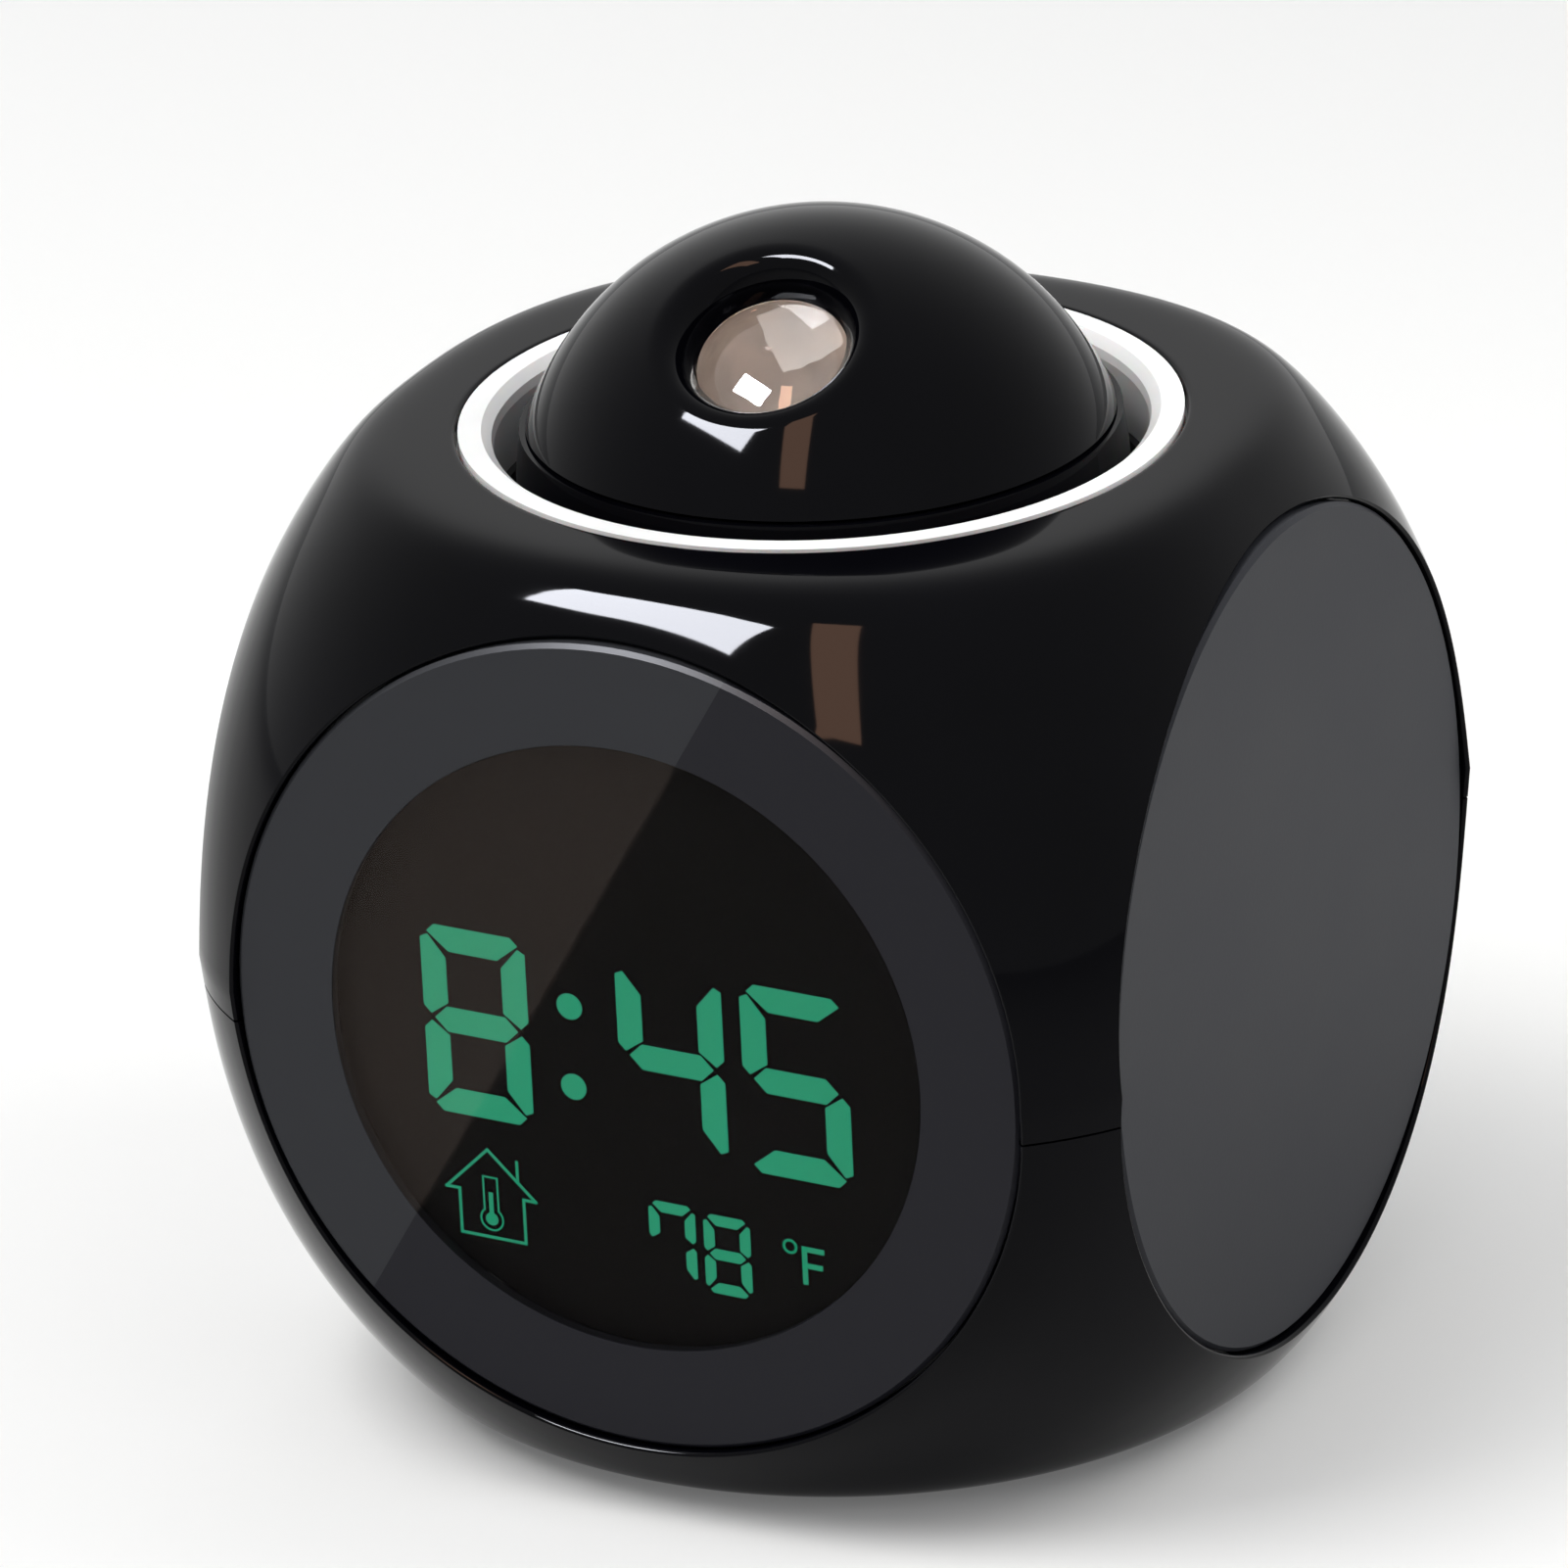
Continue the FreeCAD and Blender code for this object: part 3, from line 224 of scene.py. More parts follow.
# Matt liquid crystal cell behind the lens: brown black
LCD_CELL = grain("lcd_cell", {"IOR": 1.1}, "0c0706", "080403", 0.5, (0.6, 0.7), 0.0)
# Black resin inside the clock
BLACK_RESIN = grain("black_resin", {"IOR": 1.45}, "202022", "161618", 0.4, (0.45, 0.6), 0.01)
# Solder mask over woven glass board
BOARD = grain("solder_mask", {"IOR": 1.5}, "1d5a31", "164a28", 0.6, (0.25, 0.35), 0.01)
# Zinc plated steel
ZINC = grain("zinc_plated_steel", {"Metallic": 1.0}, "c4c6c8", "a9acb0", 0.3, (0.25, 0.4), 0.005)
# Natural rubber, dull
RUBBER = grain("black_rubber", {"IOR": 1.45}, "1f1f20", "171718", 0.4, (0.75, 0.85), 0.02)
# Printed steel jacket of a cell
JACKET = grain("cell_jacket", {"Metallic": 0.6}, "8f9396", "7f8387", 2.0, (0.3, 0.4), 0.0)
# Pressed paper of the speaker's cone
PAPER = grain("cone_paper", {"IOR": 1.4}, "2c2926", "211f1d", 0.25, (0.8, 0.9), 0.03)
# Grey picture disc seen through the projection lens
SLIDE_GREY = grain("slide_grey", {"IOR": 1.4}, "b3a9a0", "8f867e", 3.0, (0.5, 0.6), 0.0, 3.0)


def painted_glare_side(tree, place):
    """1 on the side of the straight line across the display's face where a paler reflection is painted, else
    0.
    """
    slope = (GLARE_EDGE_TOP[0] - GLARE_EDGE_FOOT[0]) / (GLARE_EDGE_TOP[1] - GLARE_EDGE_FOOT[1])
    start = GLARE_EDGE_TOP[0] - (GLARE_EDGE_TOP[1] + MIDDLE / MM) * slope
    parts = add_node(tree, "ShaderNodeSeparateXYZ", None, {"Vector": (place, "Vector")})
    lean = add_node(tree, "ShaderNodeMath", {"operation": "MULTIPLY", 1: slope}, {0: (parts, "Z")})
    offset = add_node(tree, "ShaderNodeMath", {"operation": "SUBTRACT"},
                      {0: (parts, "X"), 1: (lean, "Value")})
    return add_node(tree, "ShaderNodeMath", {"operation": "LESS_THAN", 1: start}, {0: (offset, "Value")})


def lens_material():
    """Smoked acrylic, polished: mostly clear to the display, with a painted reflection that makes the slanted
    half of the window paler.
    """
    settings = {"IOR": 1.2, "Roughness": 0.04, "Alpha": 0.3}
    material, tree, surface, place = new_material("smoked_acrylic", settings)
    # The paler colour is a painted reflection over the slanted half of the lens
    colours = {"data_type": "RGBA", MIX_A: linear("040302"), MIX_B: linear("3a332e")}
    shade = add_node(tree, "ShaderNodeMix", colours, {MIX_AMOUNT: (painted_glare_side(tree, place), "Value")})
    tree.links.new(shade.outputs[MIX_RESULT], surface.inputs["Base Color"])
    return material


def bezel_material():
    """Satin ABS of the bezel, with the same slanted half a shade lighter from the painted reflection."""
    material, tree, surface, place = new_material("bezel_satin_abs", {"IOR": 1.2, "Roughness": 0.42})
    # The lighter colour is the same painted reflection over the slanted half of the bezel
    colours = {"data_type": "RGBA", MIX_A: linear("19191e"), MIX_B: linear("2b2c2f")}
    shade = add_node(tree, "ShaderNodeMix", colours, {MIX_AMOUNT: (painted_glare_side(tree, place), "Value")})
    tree.links.new(shade.outputs[MIX_RESULT], surface.inputs["Base Color"])
    fine = add_node(tree, "ShaderNodeTexNoise", {"Scale": 3.0, "Detail": 2.0}, {"Vector": (place, "Vector")})
    bump = add_node(tree, "ShaderNodeBump", {"Strength": 1.0, "Distance": 0.005 * MM},
                    {"Height": (fine, "Fac")})
    tree.links.new(bump.outputs["Normal"], surface.inputs["Normal"])
    return material


def clear_material(name, tint, settings):
    """Clear moulded acrylic with faint flow lines."""
    material, tree, surface, place = new_material(name, {"Transmission Weight": 1.0, "IOR": 1.49, **settings})
    surface.inputs["Base Color"].default_value = linear(tint)
    flow = add_node(tree, "ShaderNodeTexNoise", {"Scale": 0.4, "Detail": 1.0}, {"Vector": (place, "Vector")})
    bump = add_node(tree, "ShaderNodeBump", {"Strength": 1.0, "Distance": 0.02 * MM},
                    {"Height": (flow, "Fac")})
    tree.links.new(bump.outputs["Normal"], surface.inputs["Normal"])
    return material


def lit_material():
    """Liquid crystal opened to the green backlight."""
    settings = {"Base Color": linear("0a4a35"), "Emission Strength": 1.35, "Roughness": 0.6}
    material, tree, surface, place = new_material("lit_segment", settings)
    even = add_node(tree, "ShaderNodeTexNoise", {"Scale": 0.08, "Detail": 1.0}, {"Vector": (place, "Vector")})
    colours = {"data_type": "RGBA", MIX_A: linear("129a6e"), MIX_B: linear("18a478")}
    shade = add_node(tree, "ShaderNodeMix", colours, {MIX_AMOUNT: (even, "Fac")})
    tree.links.new(shade.outputs[MIX_RESULT], surface.inputs["Emission Color"])
    return material


SMOKED = lens_material()
BEZEL = bezel_material()
CLEAR = clear_material("clear_acrylic", "fdfaf6", {"Roughness": 0.02})
LAMP = clear_material("lamp_epoxy", "fff4e0", {"Roughness": 0.1})
LIT = lit_material()

FINISHES = {
    "upper_housing": GLOSS_BLACK, "lower_housing": GLOSS_BLACK, "dome_cap": GLOSS_BLACK,
    "dome_base": GLOSS_BLACK, "front_bezel": BEZEL, "side_panel_left": SATIN_BLACK,
    "side_panel_right": SATIN_BLACK, "rear_panel": SATIN_BLACK, "mode_key": KEY_ABS, "set_key": KEY_ABS,
    "up_key": KEY_ABS, "down_key": KEY_ABS, "display_lens": SMOKED, "lcd_glass": LCD_CELL,
    "projector_slide": SLIDE_GREY, "projection_lens": CLEAR, "light_ring": WHITE_ABS, "backlight": WHITE_ABS,
    "lcd_frame": WHITE_ABS, "projector_chassis": BLACK_RESIN, "head_carrier": BLACK_RESIN,
    "lens_barrel": SLIDE_GREY, "main_board": BOARD, "key_board": BOARD, "projector_board": BOARD,
    "board_parts": BLACK_RESIN, "key_switches": BLACK_RESIN, "head_switch": BLACK_RESIN,
    "projector_led": LAMP, "board_screws": ZINC, "case_screws": ZINC, "head_spring": ZINC,
    "battery_contacts": ZINC, "speaker_basket": ZINC, "speaker_magnet": BLACK_RESIN, "speaker_cone": PAPER,
    "battery_cells": JACKET, "battery_door": DOOR_ABS, "rubber_feet": RUBBER,
}


def finish_nodes():
    """Give every CAD node its finish."""
    for name, node in NODES.items():
        node.data.materials.clear()
        node.data.materials.append(FINISHES[name])


def soft(height):
    """Turn a height softly onto the flat top or bottom."""
    rise = abs(height)
    limit = CROWN if height > 0 else HALF
    flat = -CROWN_BLEND * math.log(math.exp(-rise / CROWN_BLEND) + math.exp(-limit / CROWN_BLEND))
    return math.copysign(flat, height)


def section(height):
    """Half width and squareness of the housing at a height."""
    close, curve, end_power = TOP if height > 0 else FOOT
    rise = abs(height)
    width = REACH * (1 - (rise / close) ** curve) ** (1 / curve)
    return width, POWER + (end_power - POWER) * min(rise, HALF) / HALF


def side_depth(y, z):
    """How far out the +X side stands."""
    width, power = section(z)
    return (width ** power - abs(y) ** power) ** (1 / power)


def corner(z):
    """Distance of the upright corner from both middle planes."""
    width, power = section(z)
    return width / 2 ** (1 / power)


def cap_height(x, y, way):
    """Height of the top (way 1) or bottom (way -1) over a point, before it is turned flat."""
    low = SIDE_HIGH
    high = (TOP if way > 0 else FOOT)[0] * NEAR_CLOSE
    for _ in range(HALVINGS):
        middle = (low + high) / 2
        width, power = section(way * middle)
        if (abs(x) ** power + abs(y) ** power) ** (1 / power) > width:
            high = middle
        else:
            low = middle
    return way * low


def side_edge():
    """Points (y, z) round the +X side, as many on each of its four stretches."""
    shares = [2 * i / EDGE_STEPS - 1 for i in range(EDGE_STEPS)]
    points = [(corner(share * SIDE_HIGH), share * SIDE_HIGH) for share in shares]
    points += [(-share * corner(SIDE_HIGH), SIDE_HIGH) for share in shares]
    points += [(-corner(-share * SIDE_HIGH), -share * SIDE_HIGH) for share in shares]
    return points + [(share * corner(-SIDE_HIGH), -SIDE_HIGH) for share in shares]


def at_radius(y, z, radius):
    """Point in the same direction at a radius."""
    size = math.hypot(y, z)
    return (y * radius / size, z * radius / size)


def side_rows():
    """Rows of the +X side, from the seat of its panel out to the edges it shares."""
    edge = side_edge()
    starts = [at_radius(y, z, PANEL_HOLE + RIM_ROUND) for y, z in edge]
    crest = [side_depth(y, z) for y, z in starts]
    rows = []
    for radius in (PANEL_HOLE - SEAT_WIDTH, PANEL_HOLE):
        rows.append([(PANEL_SEAT, *at_radius(y, z, radius)) for y, z in edge])
    for k in range(ROUND_STEPS, 0, -1):
        turn = math.pi / 2 * k / ROUND_STEPS
        radius = PANEL_HOLE + RIM_ROUND * (1 - math.sin(turn))
        drop = RIM_ROUND * (1 - math.cos(turn))
        rows.append([(x - drop, *at_radius(y, z, radius)) for x, (y, z) in zip(crest, starts)])
    for i in range(SIDE_ROWS + 1):
        share = i / SIDE_ROWS
        row = []
        for (y0, z0), (y1, z1) in zip(starts, edge):
            y = y0 + (y1 - y0) * share
            z = z0 + (z1 - z0) * share
            row.append((side_depth(y, z), y, soft(z)))
        rows.append(row)
    return rows


def cap_rows(way, inner):
    """Rows of the top or bottom, from the edge it shares with the sides in to a circle."""
    edge = []
    wide = corner(way * SIDE_HIGH)
    for quarter in range(4):
        for i in range(EDGE_STEPS):
            y = wide * (2 * i / EDGE_STEPS - 1)
            edge.append(quarter_turn((side_depth(y, way * SIDE_HIGH), y, 0), quarter)[:2])
    rows = [[(x, y, soft(way * SIDE_HIGH)) for x, y in edge]]
    for i in range(1, CAP_ROWS + 1):
        share = i / CAP_ROWS
        row = []
        for x, y in edge:
            near = at_radius(x, y, inner)
            u = x + (near[0] - x) * share
            v = y + (near[1] - y) * share
            row.append((u, v, soft(cap_height(u, v, way))))
        rows.append(row)
    return rows


def quarter_turn(point, quarter):
    """A point turned about Z by quarters."""
    x, y, z = point
    for _ in range(quarter):
        x, y = -y, x
    return (x, y, z)


def skin(shape, rows):
    """Quads between closed rows of points; gives the rows' vertices."""
    lines = [[shape.verts.new(point) for point in row] for row in rows]
    for low, high in zip(lines, lines[1:]):
        for i in range(len(low)):
            j = (i + 1) % len(low)
            shape.faces.new((low[i], low[j], high[j], high[i]))
    return lines


def rectangle_loop(half_x, half_y, z):
    """Corners of a level rectangle."""
    return [(sx * half_x, sy * half_y, z) for sx, sy in ((1, 1), (-1, 1), (-1, -1), (1, -1))]


def circle_loop(x, y, z, radius, count):
    """Points of a level circle."""
    turns = [2 * math.pi * i / count for i in range(count)]
    return [(x + radius * math.cos(t), y + radius * math.sin(t), z) for t in turns]


def window_rows():
    """Front wall from the seat's inner edge to the display's opening, and the opening's wall."""
    edge = side_edge()
    places = ((PANEL_SEAT, PANEL_HOLE - SEAT_WIDTH), (PANEL_SEAT, WINDOW_RADIUS),
              (PANEL_SEAT - WALL, WINDOW_RADIUS))
    return [[(depth, *at_radius(y, z, radius)) for y, z in edge] for depth, radius in places]


def bottom_details(shape, rim):
    """Flat bottom with the door's opening, the battery bay and four screw holes."""
    edges = [shape.edges.get((a, b)) for a, b in zip(rim, rim[1:] + rim[:1])]
    loops = [[rectangle_loop(*DOOR_OPENING, -HALF), rectangle_loop(*DOOR_OPENING, DOOR_LEDGE),
              rectangle_loop(*BAY_OPENING, DOOR_LEDGE), rectangle_loop(*BAY_OPENING, BAY_ROOF)]]
    for sx, sy in ((1, 1), (-1, 1), (-1, -1), (1, -1)):
        x = sx * SCREW_SPOT[0]
        y = sy * SCREW_SPOT[1]
        loops.append([circle_loop(x, y, z, SCREW_HOLE, SCREW_STEPS) for z in (-HALF, SCREW_SEAT)])
    for rows in loops:
        lines = skin(shape, rows)
        mouth = lines[0]
        edges += [shape.edges.get((a, b)) for a, b in zip(mouth, mouth[1:] + mouth[:1])]
        shape.faces.new(lines[-1])
    bmesh.ops.triangle_fill(shape, use_beauty=True, edges=edges, normal=(0, 0, -1))


def housing_skin():
    """The whole housing in millimetres about the clock's middle."""
    shape = bmesh.new()
    for quarter in range(4):
        skin(shape, [[quarter_turn(point, quarter) for point in row] for row in side_rows()])
    skin(shape, [[quarter_turn(point, 3) for point in row] for row in window_rows()])
    rim = RING_HOLE + RIM_ROUND
    rows = cap_rows(1, rim)
    for k in range(1, ROUND_STEPS + 1):
        turn = math.pi / 2 * k / ROUND_STEPS
        radius = RING_HOLE + RIM_ROUND * (1 - math.sin(turn))
        drop = RIM_ROUND * (1 - math.cos(turn))
        rows.append([(*at_radius(x, y, radius), z - drop) for x, y, z in rows[CAP_ROWS]])
    rows.append([(x, y, RING_SEAT) for x, y, _ in rows[-1]])
    skin(shape, rows)
    bottom = skin(shape, cap_rows(-1, FLAT_EDGE))
    bottom_details(shape, bottom[-1])
    bmesh.ops.remove_doubles(shape, verts=shape.verts, dist=WELD_MM)
    return shape


def finished_piece(shape, name, body, material, nodes):
    """Mesh piece in metres from a shape in millimetres, smooth but for its sharp edges."""
    bmesh.ops.recalc_face_normals(shape, faces=shape.faces)
    for face in shape.faces:
        face.smooth = True
    for edge in shape.edges:
        edge.smooth = len(edge.link_faces) == 2 and edge.calc_face_angle() < SHARP_ANGLE
    outward = sum(face.normal.dot(face.calc_center_median()) * face.calc_area() for face in shape.faces)
    if outward < 0:
        bmesh.ops.reverse_faces(shape, faces=shape.faces)
    bmesh.ops.scale(shape, vec=(MM, MM, MM), verts=shape.verts)
    bmesh.ops.translate(shape, vec=(0, 0, MIDDLE), verts=shape.verts)
    mesh = bpy.data.meshes.new(name)
    shape.to_mesh(mesh)
    shape.free()
    mesh.materials.append(material)
    piece = bpy.data.objects.new(name, mesh)
    bpy.context.scene.collection.objects.link(piece)
    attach(piece, body)
    if nodes:
        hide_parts(*nodes)
    return piece


def housing_half(name, node, upper):
    """One half of the housing, cut at the joint with a short return inwards."""
    shape = housing_skin()
    height = PART_LINE + (PART_GAP if upper else 0.0)
    everything = shape.verts[:] + shape.edges[:] + shape.faces[:]
    cut = bmesh.ops.bisect_plane(shape, geom=everything, plane_co=(0, 0, height), plane_no=(0, 0, 1),
                                 clear_inner=upper, clear_outer=not upper)["geom_cut"]
    edges = [g for g in cut if isinstance(g, bmesh.types.BMEdge)]
    turned_in = bmesh.ops.extrude_edge_only(shape, edges=edges)["geom"]
    corners = [g for g in turned_in if isinstance(g, bmesh.types.BMVert)]
    bmesh.ops.scale(shape, vec=(PART_RETURN, PART_RETURN, 1), verts=corners)
    return finished_piece(shape, name, "case", GLOSS_BLACK, [node])


def dome():
    """Domed cap: ball surface, soft-edged countersink and the bore that the lens stands in."""
    heading = Matrix.Rotation(math.radians(LENS_HEADING), 3, "Z")
    turn = heading @ Matrix.Rotation(math.radians(LENS_TILT), 3, "X")
    mouth = math.sqrt(DOME_RADIUS ** 2 - SINK_RADIUS ** 2)
    slope = Vector((SINK_RADIUS - BORE, mouth - SINK_FOOT)).normalized()
    edge = Vector((SINK_RADIUS, mouth))
    before = edge - slope * SINK_ROUND
    start = math.asin(SINK_RADIUS / DOME_RADIUS) + SINK_ROUND / DOME_RADIUS
    after = Vector((math.sin(start), math.cos(start))) * DOME_RADIUS
    profile = [(BORE, BORE_FOOT), (BORE, SINK_FOOT)]
    for i in range(SINK_STEPS + 1):
        t = i / SINK_STEPS
        profile.append(tuple(before * (1 - t) ** 2 + edge * 2 * t * (1 - t) + after * t ** 2))
    shape = bmesh.new()
    turns = [2 * math.pi * i / DOME_STEPS for i in range(DOME_STEPS)]
    rows = [[Vector((r * math.cos(t), r * math.sin(t), h)) for t in turns] for r, h in profile]
    ends = []
    for t in turns:
        across = turn[2][0] * math.cos(t) + turn[2][1] * math.sin(t)
        level = (DOME_FOOT - DOME_CENTRE) / DOME_RADIUS / math.hypot(across, turn[2][2])
        ends.append(math.atan2(across, turn[2][2]) + math.acos(level))
    for i in range(1, DOME_ROWS + 1):
        row = []
        for t, end in zip(turns, ends):
            lean = start + (end - start) * i / DOME_ROWS
            wide = math.sin(lean)
            row.append(Vector((wide * math.cos(t), wide * math.sin(t), math.cos(lean))) * DOME_RADIUS)
        rows.append(row)
    rows = [[turn @ point + Vector((0, 0, DOME_CENTRE)) for point in row] for row in rows]
    rows.append([Vector((*at_radius(p.x, p.y, DOME_LIP), DOME_FOOT)) for p in rows[-1]])
    skin(shape, rows)
    return finished_piece(shape, "dome_shell", "head", GLOSS_BLACK, ["dome_cap"])


def display_point(x, z):
    """Point on the liquid crystal's face from display millimetres."""
    return Vector((x * MM, -LCD_FACE * MM, MIDDLE + (z + ROW_DROP * x) * MM))


def display_film():
    """Black film behind the lens, round as the lens is, that the figures are printed on."""
    shape = bmesh.new()
    bmesh.ops.create_circle(shape, cap_ends=True, segments=FILM_STEPS, radius=FILM_RADIUS)
    raised = bmesh.ops.extrude_face_region(shape, geom=shape.faces[:])["geom"]
    corners = [g for g in raised if isinstance(g, bmesh.types.BMVert)]
    bmesh.ops.translate(shape, verts=corners, vec=(0, 0, FILM_THICK))
    bmesh.ops.rotate(shape, verts=shape.verts, matrix=Matrix.Rotation(math.radians(90), 3, "X"))
    bmesh.ops.translate(shape, verts=shape.verts, vec=(0, -LCD_FACE + FILM_THICK, 0))
    return finished_piece(shape, "display_film", "case", LCD_CELL, [])


def printed(name, outlines):
    """Flat printed shapes, each a closed outline in display millimetres, raised a little from the face."""
    shape = bmesh.new()
    for outline in outlines:
        face = shape.faces.new([shape.verts.new(display_point(x, z)) for x, z in outline])
        raised = bmesh.ops.extrude_face_region(shape, geom=[face])["geom"]
        corners = [g for g in raised if isinstance(g, bmesh.types.BMVert)]
        bmesh.ops.translate(shape, verts=corners, vec=(0, -PRINT_THICK * MM, 0))
    bmesh.ops.recalc_face_normals(shape, faces=shape.faces)
    mesh = bpy.data.meshes.new(name)
    shape.to_mesh(mesh)
    shape.free()
    mesh.materials.append(LIT)
    piece = bpy.data.objects.new(name, mesh)
    bpy.context.scene.collection.objects.link(piece)
    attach(piece, "case")
    return piece


def segment_outlines(digit, x, z, width, height, bar, gap):
    """Mitred bars of one seven-segment figure centred on (x, z)."""
    half_w = width / 2
    half_h = height / 2
    tip = bar / 2
    nick = 0.3 * bar

    def level(z0, way):
        """Bar along the top or bottom edge; way is +1 at the top."""
        outer = half_w - gap
        points = [(-outer + nick + gap, 0), (outer - nick - gap, 0), (outer - gap, -nick)]
        points += [(outer - bar, -bar), (-outer + bar, -bar), (-outer + gap, -nick)]
        return [(x + a, z0 + way * b) for a, b in points]

    def middle():
        reach = half_w - gap - nick
        points = [(-reach, 0), (-reach + tip, tip), (reach - tip, tip), (reach, 0)]
        points += [(reach - tip, -tip), (-reach + tip, -tip)]
        return [(x + a, z + b) for a, b in points]

    def upright(side, way):
        """Bar at one side of the upper or lower half."""
        points = [(0, half_h - nick - 2 * gap), (-nick, half_h - nick / 2 - 2 * gap)]
        points += [(-bar, half_h - bar - 2 * gap), (-bar, tip + gap), (-nick, gap), (0, gap + nick)]
        return [(x + side * (half_w + a), z + way * b) for a, b in points]

    bars = {
        "a": level(z + half_h, 1), "d": level(z - half_h, -1), "g": middle(), "b": upright(1, 1),
        "c": upright(1, -1), "e": upright(-1, -1), "f": upright(-1, 1),
    }
    return [bars[letter] for letter in SEGMENTS[digit]]


def disc_outline(x, z, radius, count=DISC_STEPS):
    """Round outline."""
    turns = [2 * math.pi * i / count for i in range(count)]
    return [(x + radius * math.cos(t), z + radius * math.sin(t)) for t in turns]


def strokes(points, width):
    """One thin bar for each run between points, ends squared."""
    bars = []
    for (x0, z0), (x1, z1) in zip(points, points[1:]):
        length = math.hypot(x1 - x0, z1 - z0)
        along = ((x1 - x0) / length, (z1 - z0) / length)
        side = (-along[1] * width / 2, along[0] * width / 2)
        back = (along[0] * width / 2, along[1] * width / 2)
        start = (x0 - back[0], z0 - back[1])
        end = (x1 + back[0], z1 + back[1])
        bars.append([(start[0] + side[0], start[1] + side[1]), (end[0] + side[0], end[1] + side[1]),
                     (end[0] - side[0], end[1] - side[1]), (start[0] - side[0], start[1] - side[1])])
    return bars


def time_figures():
    """The hour and minutes with their colon."""
    bars = []
    for digit, x, z in TIME_DIGITS:
        bars += segment_outlines(digit, x, z, TIME_WIDTH, TIME_HEIGHT, TIME_BAR, TIME_GAP)
    for z in COLON_HEIGHTS:
        bars.append(disc_outline(COLON_LEFT, z, COLON_RADIUS))
    return printed("display_time", bars)


def temperature_figures():
    """Two small figures with the degree mark and its letter."""
    bars = []
    for digit, x, z in DEGREE_DIGITS:
        bars += segment_outlines(digit, x, z, DEGREE_WIDTH, DEGREE_HEIGHT, DEGREE_BAR, DEGREE_GAP)
    ring = disc_outline(*DEGREE_MARK, DEGREE_MARK_STEPS)
    bars += strokes(ring + ring[:1], RING_LINE)
    bars += strokes([(17.7, -17.0), (16.0, -17.0), (16.0, -20.2)], LETTER_LINE)
    bars += strokes([(16.0, -18.6), (17.5, -18.6)], LETTER_LINE)
    return printed("display_temperature", bars)


def house_sign():
    """Line drawing of a house with a thermometer in it."""
    left = -19.5
    eave = -17.6
    outline = [(1.3, 0.0), (0.0, 0.0), (4.3, 4.3), (8.9, 0.0), (7.7, 0.0), (7.7, -4.3), (1.3, -4.3)]
    outline.append(outline[0])
    bars = strokes([(left + a, eave + b) for a, b in outline], LINE_WIDTH)
    bars += strokes([(left + 7.2, eave + 1.6), (left + 7.2, eave + 3.6)], LINE_WIDTH)
    tube = 0.7
    bulb = 1.1
    middle = left + 4.4
    low = eave - 2.5
    open_angle = math.asin(tube / bulb)
    arc = []
    for i in range(BULB_STEPS + 1):
        turn = math.pi / 2 - open_angle - i * (2 * math.pi - 2 * open_angle) / BULB_STEPS
        arc.append((middle + bulb * math.cos(turn), low + bulb * math.sin(turn)))
    top = eave + 1.6
    bars += strokes([(middle + tube, top)] + arc + [(middle - tube, top), (middle + tube, top)], FINE_LINE)
    bars.append(disc_outline(middle, low, 0.62, 20))
    bars += strokes([(middle, low), (middle, eave - 0.1)], STEM_LINE)
    return printed("display_house", bars)


def seen_rays(tree):
    """1 for the rays that show the backdrop, else 0."""
    paths = add_node(tree, "ShaderNodeLightPath")
    direct = add_node(tree, "ShaderNodeMath", {"operation": "MAXIMUM"},
                      {0: (paths, "Is Camera Ray"), 1: (paths, "Is Transmission Ray")})
    return add_node(tree, "ShaderNodeMath", {"operation": "MAXIMUM"},
                    {0: (direct, "Value"), 1: (paths, "Is Glossy Ray")})


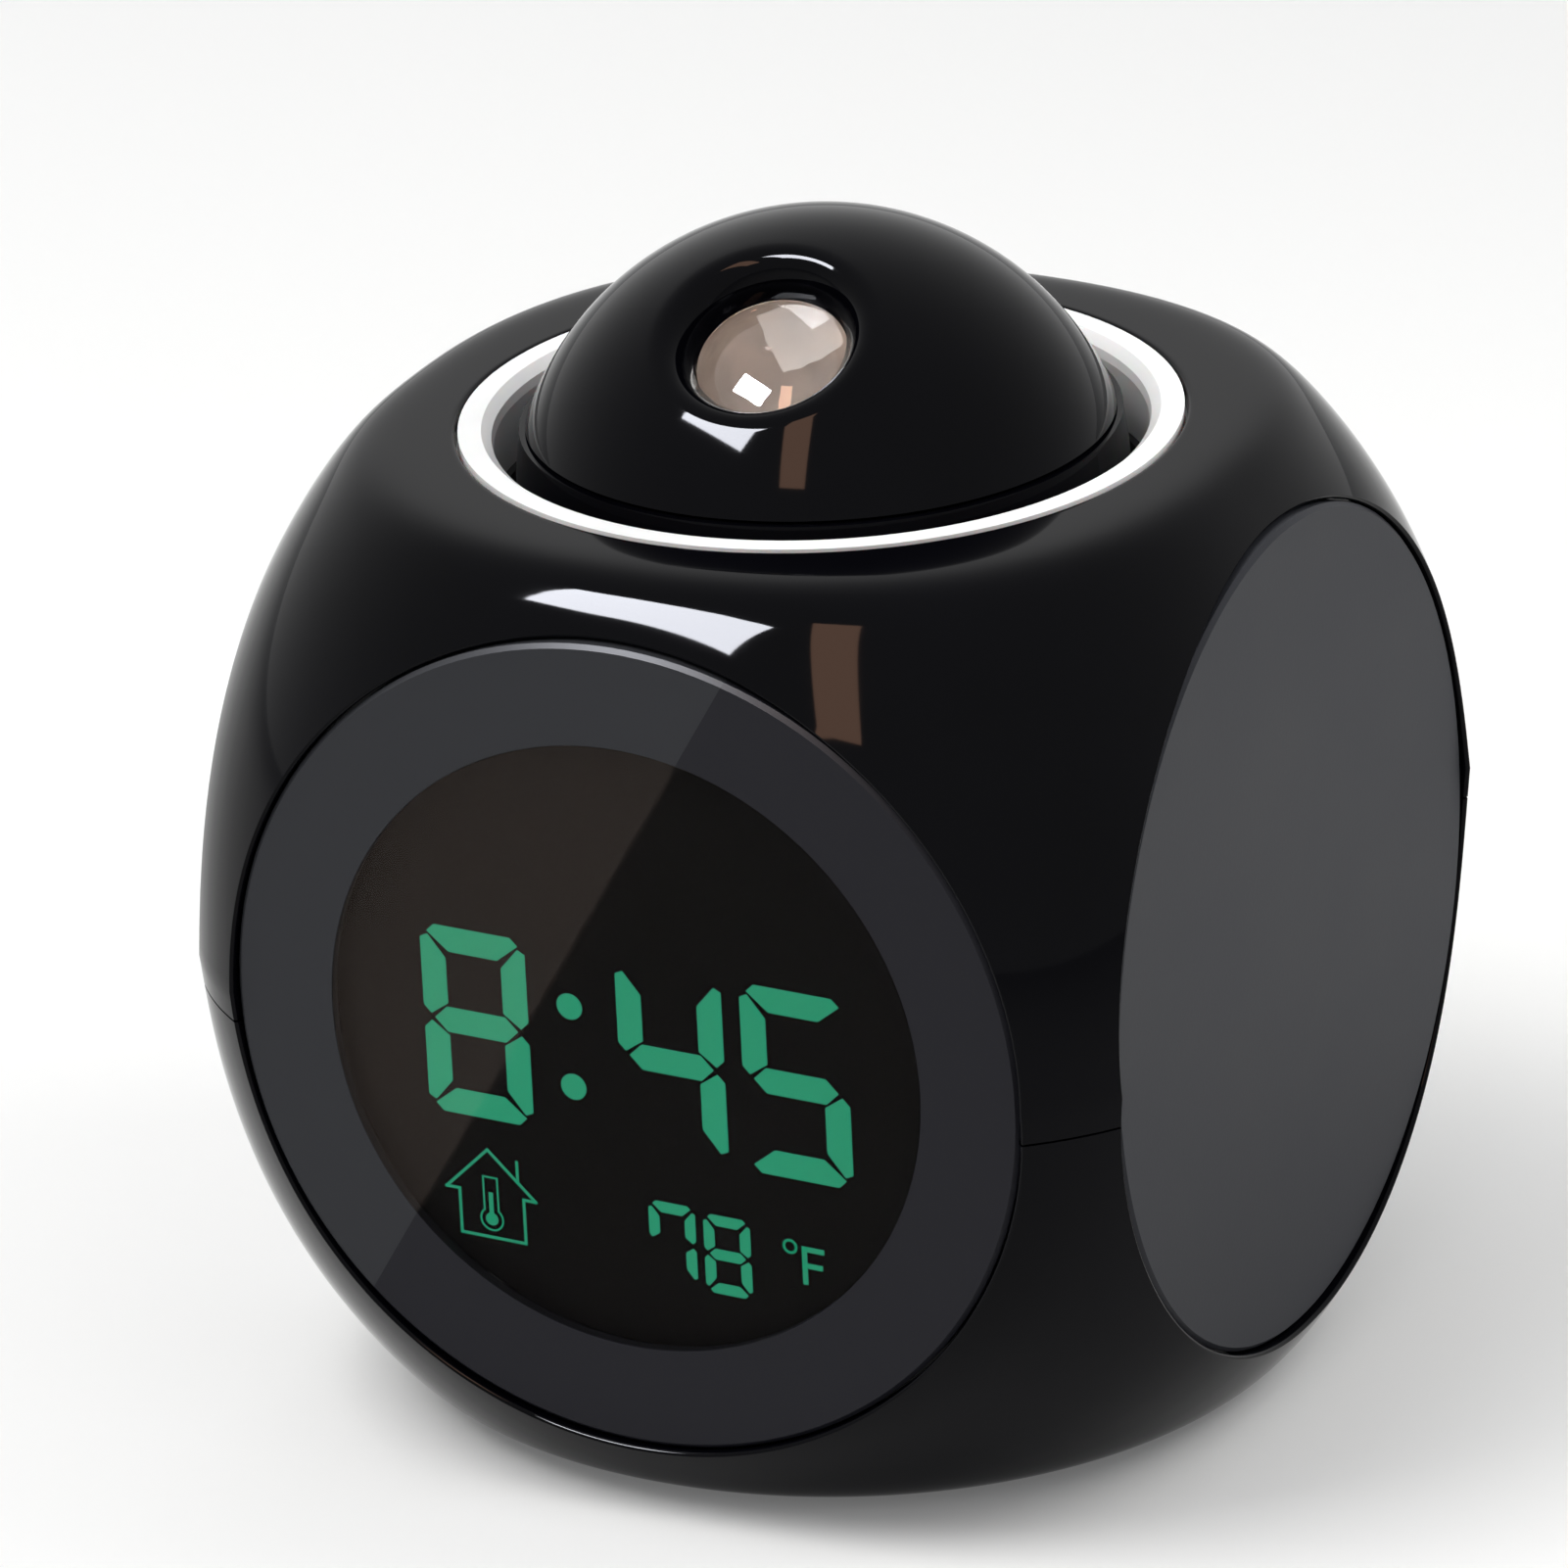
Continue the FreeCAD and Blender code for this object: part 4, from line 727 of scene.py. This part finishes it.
def studio():
    """Pale floor and white surround."""
    bpy.ops.mesh.primitive_grid_add(x_subdivisions=FLOOR_CELLS, y_subdivisions=FLOOR_CELLS, size=FLOOR_SIDE)
    floor = bpy.context.object
    floor.name = "studio_floor"
    material = bpy.data.materials.new("pale_floor")
    material.use_nodes = True
    tree = material.node_tree
    tree.nodes.clear()
    paint = add_node(tree, "ShaderNodeBsdfPrincipled", {"Roughness": 0.8, "IOR": 1.3})
    mottle = add_node(tree, "ShaderNodeTexNoise", {"Scale": 3.0, "Detail": 2.0})
    colours = {"data_type": "RGBA", MIX_A: linear("e6e5e2"), MIX_B: linear("e9e8e6")}
    shade = add_node(tree, "ShaderNodeMix", colours, {MIX_AMOUNT: (mottle, "Fac")})
    tree.links.new(shade.outputs[MIX_RESULT], paint.inputs["Base Color"])
    paint.inputs["Emission Color"].default_value = (1, 1, 1, 1)
    lift = add_node(tree, "ShaderNodeMath", {"operation": "MULTIPLY", 1: FLOOR_LIFT},
                    {0: (seen_rays(tree), "Value")})
    tree.links.new(lift.outputs["Value"], paint.inputs["Emission Strength"])
    output = add_node(tree, "ShaderNodeOutputMaterial")
    tree.links.new(paint.outputs["BSDF"], output.inputs["Surface"])
    floor.data.materials.append(material)

    world = bpy.data.worlds.new("studio")
    bpy.context.scene.world = world
    world.use_nodes = True
    tree = world.node_tree
    tree.nodes.clear()
    seen = seen_rays(tree)
    dim = add_node(tree, "ShaderNodeBackground", {"Color": linear("eceef2"), "Strength": 0.62})
    white = add_node(tree, "ShaderNodeBackground", {"Color": (1, 1, 1, 1), "Strength": 1.0})
    mixed = add_node(tree, "ShaderNodeMixShader", None, {0: (seen, "Value"), 1: (dim, "Background"),
                                                         2: (white, "Background")})
    output = add_node(tree, "ShaderNodeOutputWorld")
    tree.links.new(mixed.outputs["Shader"], output.inputs["Surface"])


def lamp(name, toward, distance, width, height, power, colour="ffffff", mirrored=False):
    """Soft rectangular lamp that faces the clock's middle; a mirrored one shows only in gloss."""
    data = bpy.data.lights.new(name, "AREA")
    data.shape = "RECTANGLE"
    data.size = width
    data.size_y = height
    data.energy = power
    data.color = linear(colour)[:3]
    item = bpy.data.objects.new(name, data)
    direction = Vector(toward).normalized()
    item.location = Vector((0, 0, MIDDLE)) + direction * distance
    item.rotation_mode = "QUATERNION"
    item.rotation_quaternion = (-direction).to_track_quat("-Z", "Y")
    item.visible_diffuse = not mirrored
    item.visible_glossy = mirrored
    bpy.context.scene.collection.objects.link(item)
    return item


def camera():
    """Camera at the photo's viewpoint."""
    data = bpy.data.cameras.new("camera")
    data.sensor_width = SENSOR
    data.lens = FOCAL_PIXELS / IMAGE_SIDE * SENSOR
    data.clip_start = NEAR_CLIP
    item = bpy.data.objects.new("camera", data)
    right = CAMERA_FORWARD.cross(CAMERA_UP)
    turn = Matrix((right, CAMERA_UP, -CAMERA_FORWARD)).transposed()
    item.location = CAMERA_SPOT + Vector((0, 0, MIDDLE))
    item.rotation_mode = "QUATERNION"
    item.rotation_quaternion = turn.to_quaternion()
    bpy.context.scene.collection.objects.link(item)
    bpy.context.scene.camera = item


bpy.context.scene.view_settings.view_transform = "Standard"
camera()
finish_nodes()
housing_half("upper_shell", "upper_housing", True)
housing_half("lower_shell", "lower_housing", False)
dome()
display_film()
time_figures()
temperature_figures()
house_sign()
studio()
lamp("window", (-0.34, -0.56, 0.835), 0.9, 0.42, 0.22, 50.0, "f4f6ff", mirrored=True)
lamp("doorway", (0.12, -0.52, 0.6), 0.9, 0.14, 0.46, 5.0, "c89a80", mirrored=True)
lamp("overhead", (-0.5, -0.4, 1.0), 1.1, 0.7, 0.7, 9.0)
lamp("side", (0.7, 0.3, 0.65), 0.34, 0.2, 0.2, 0.45)
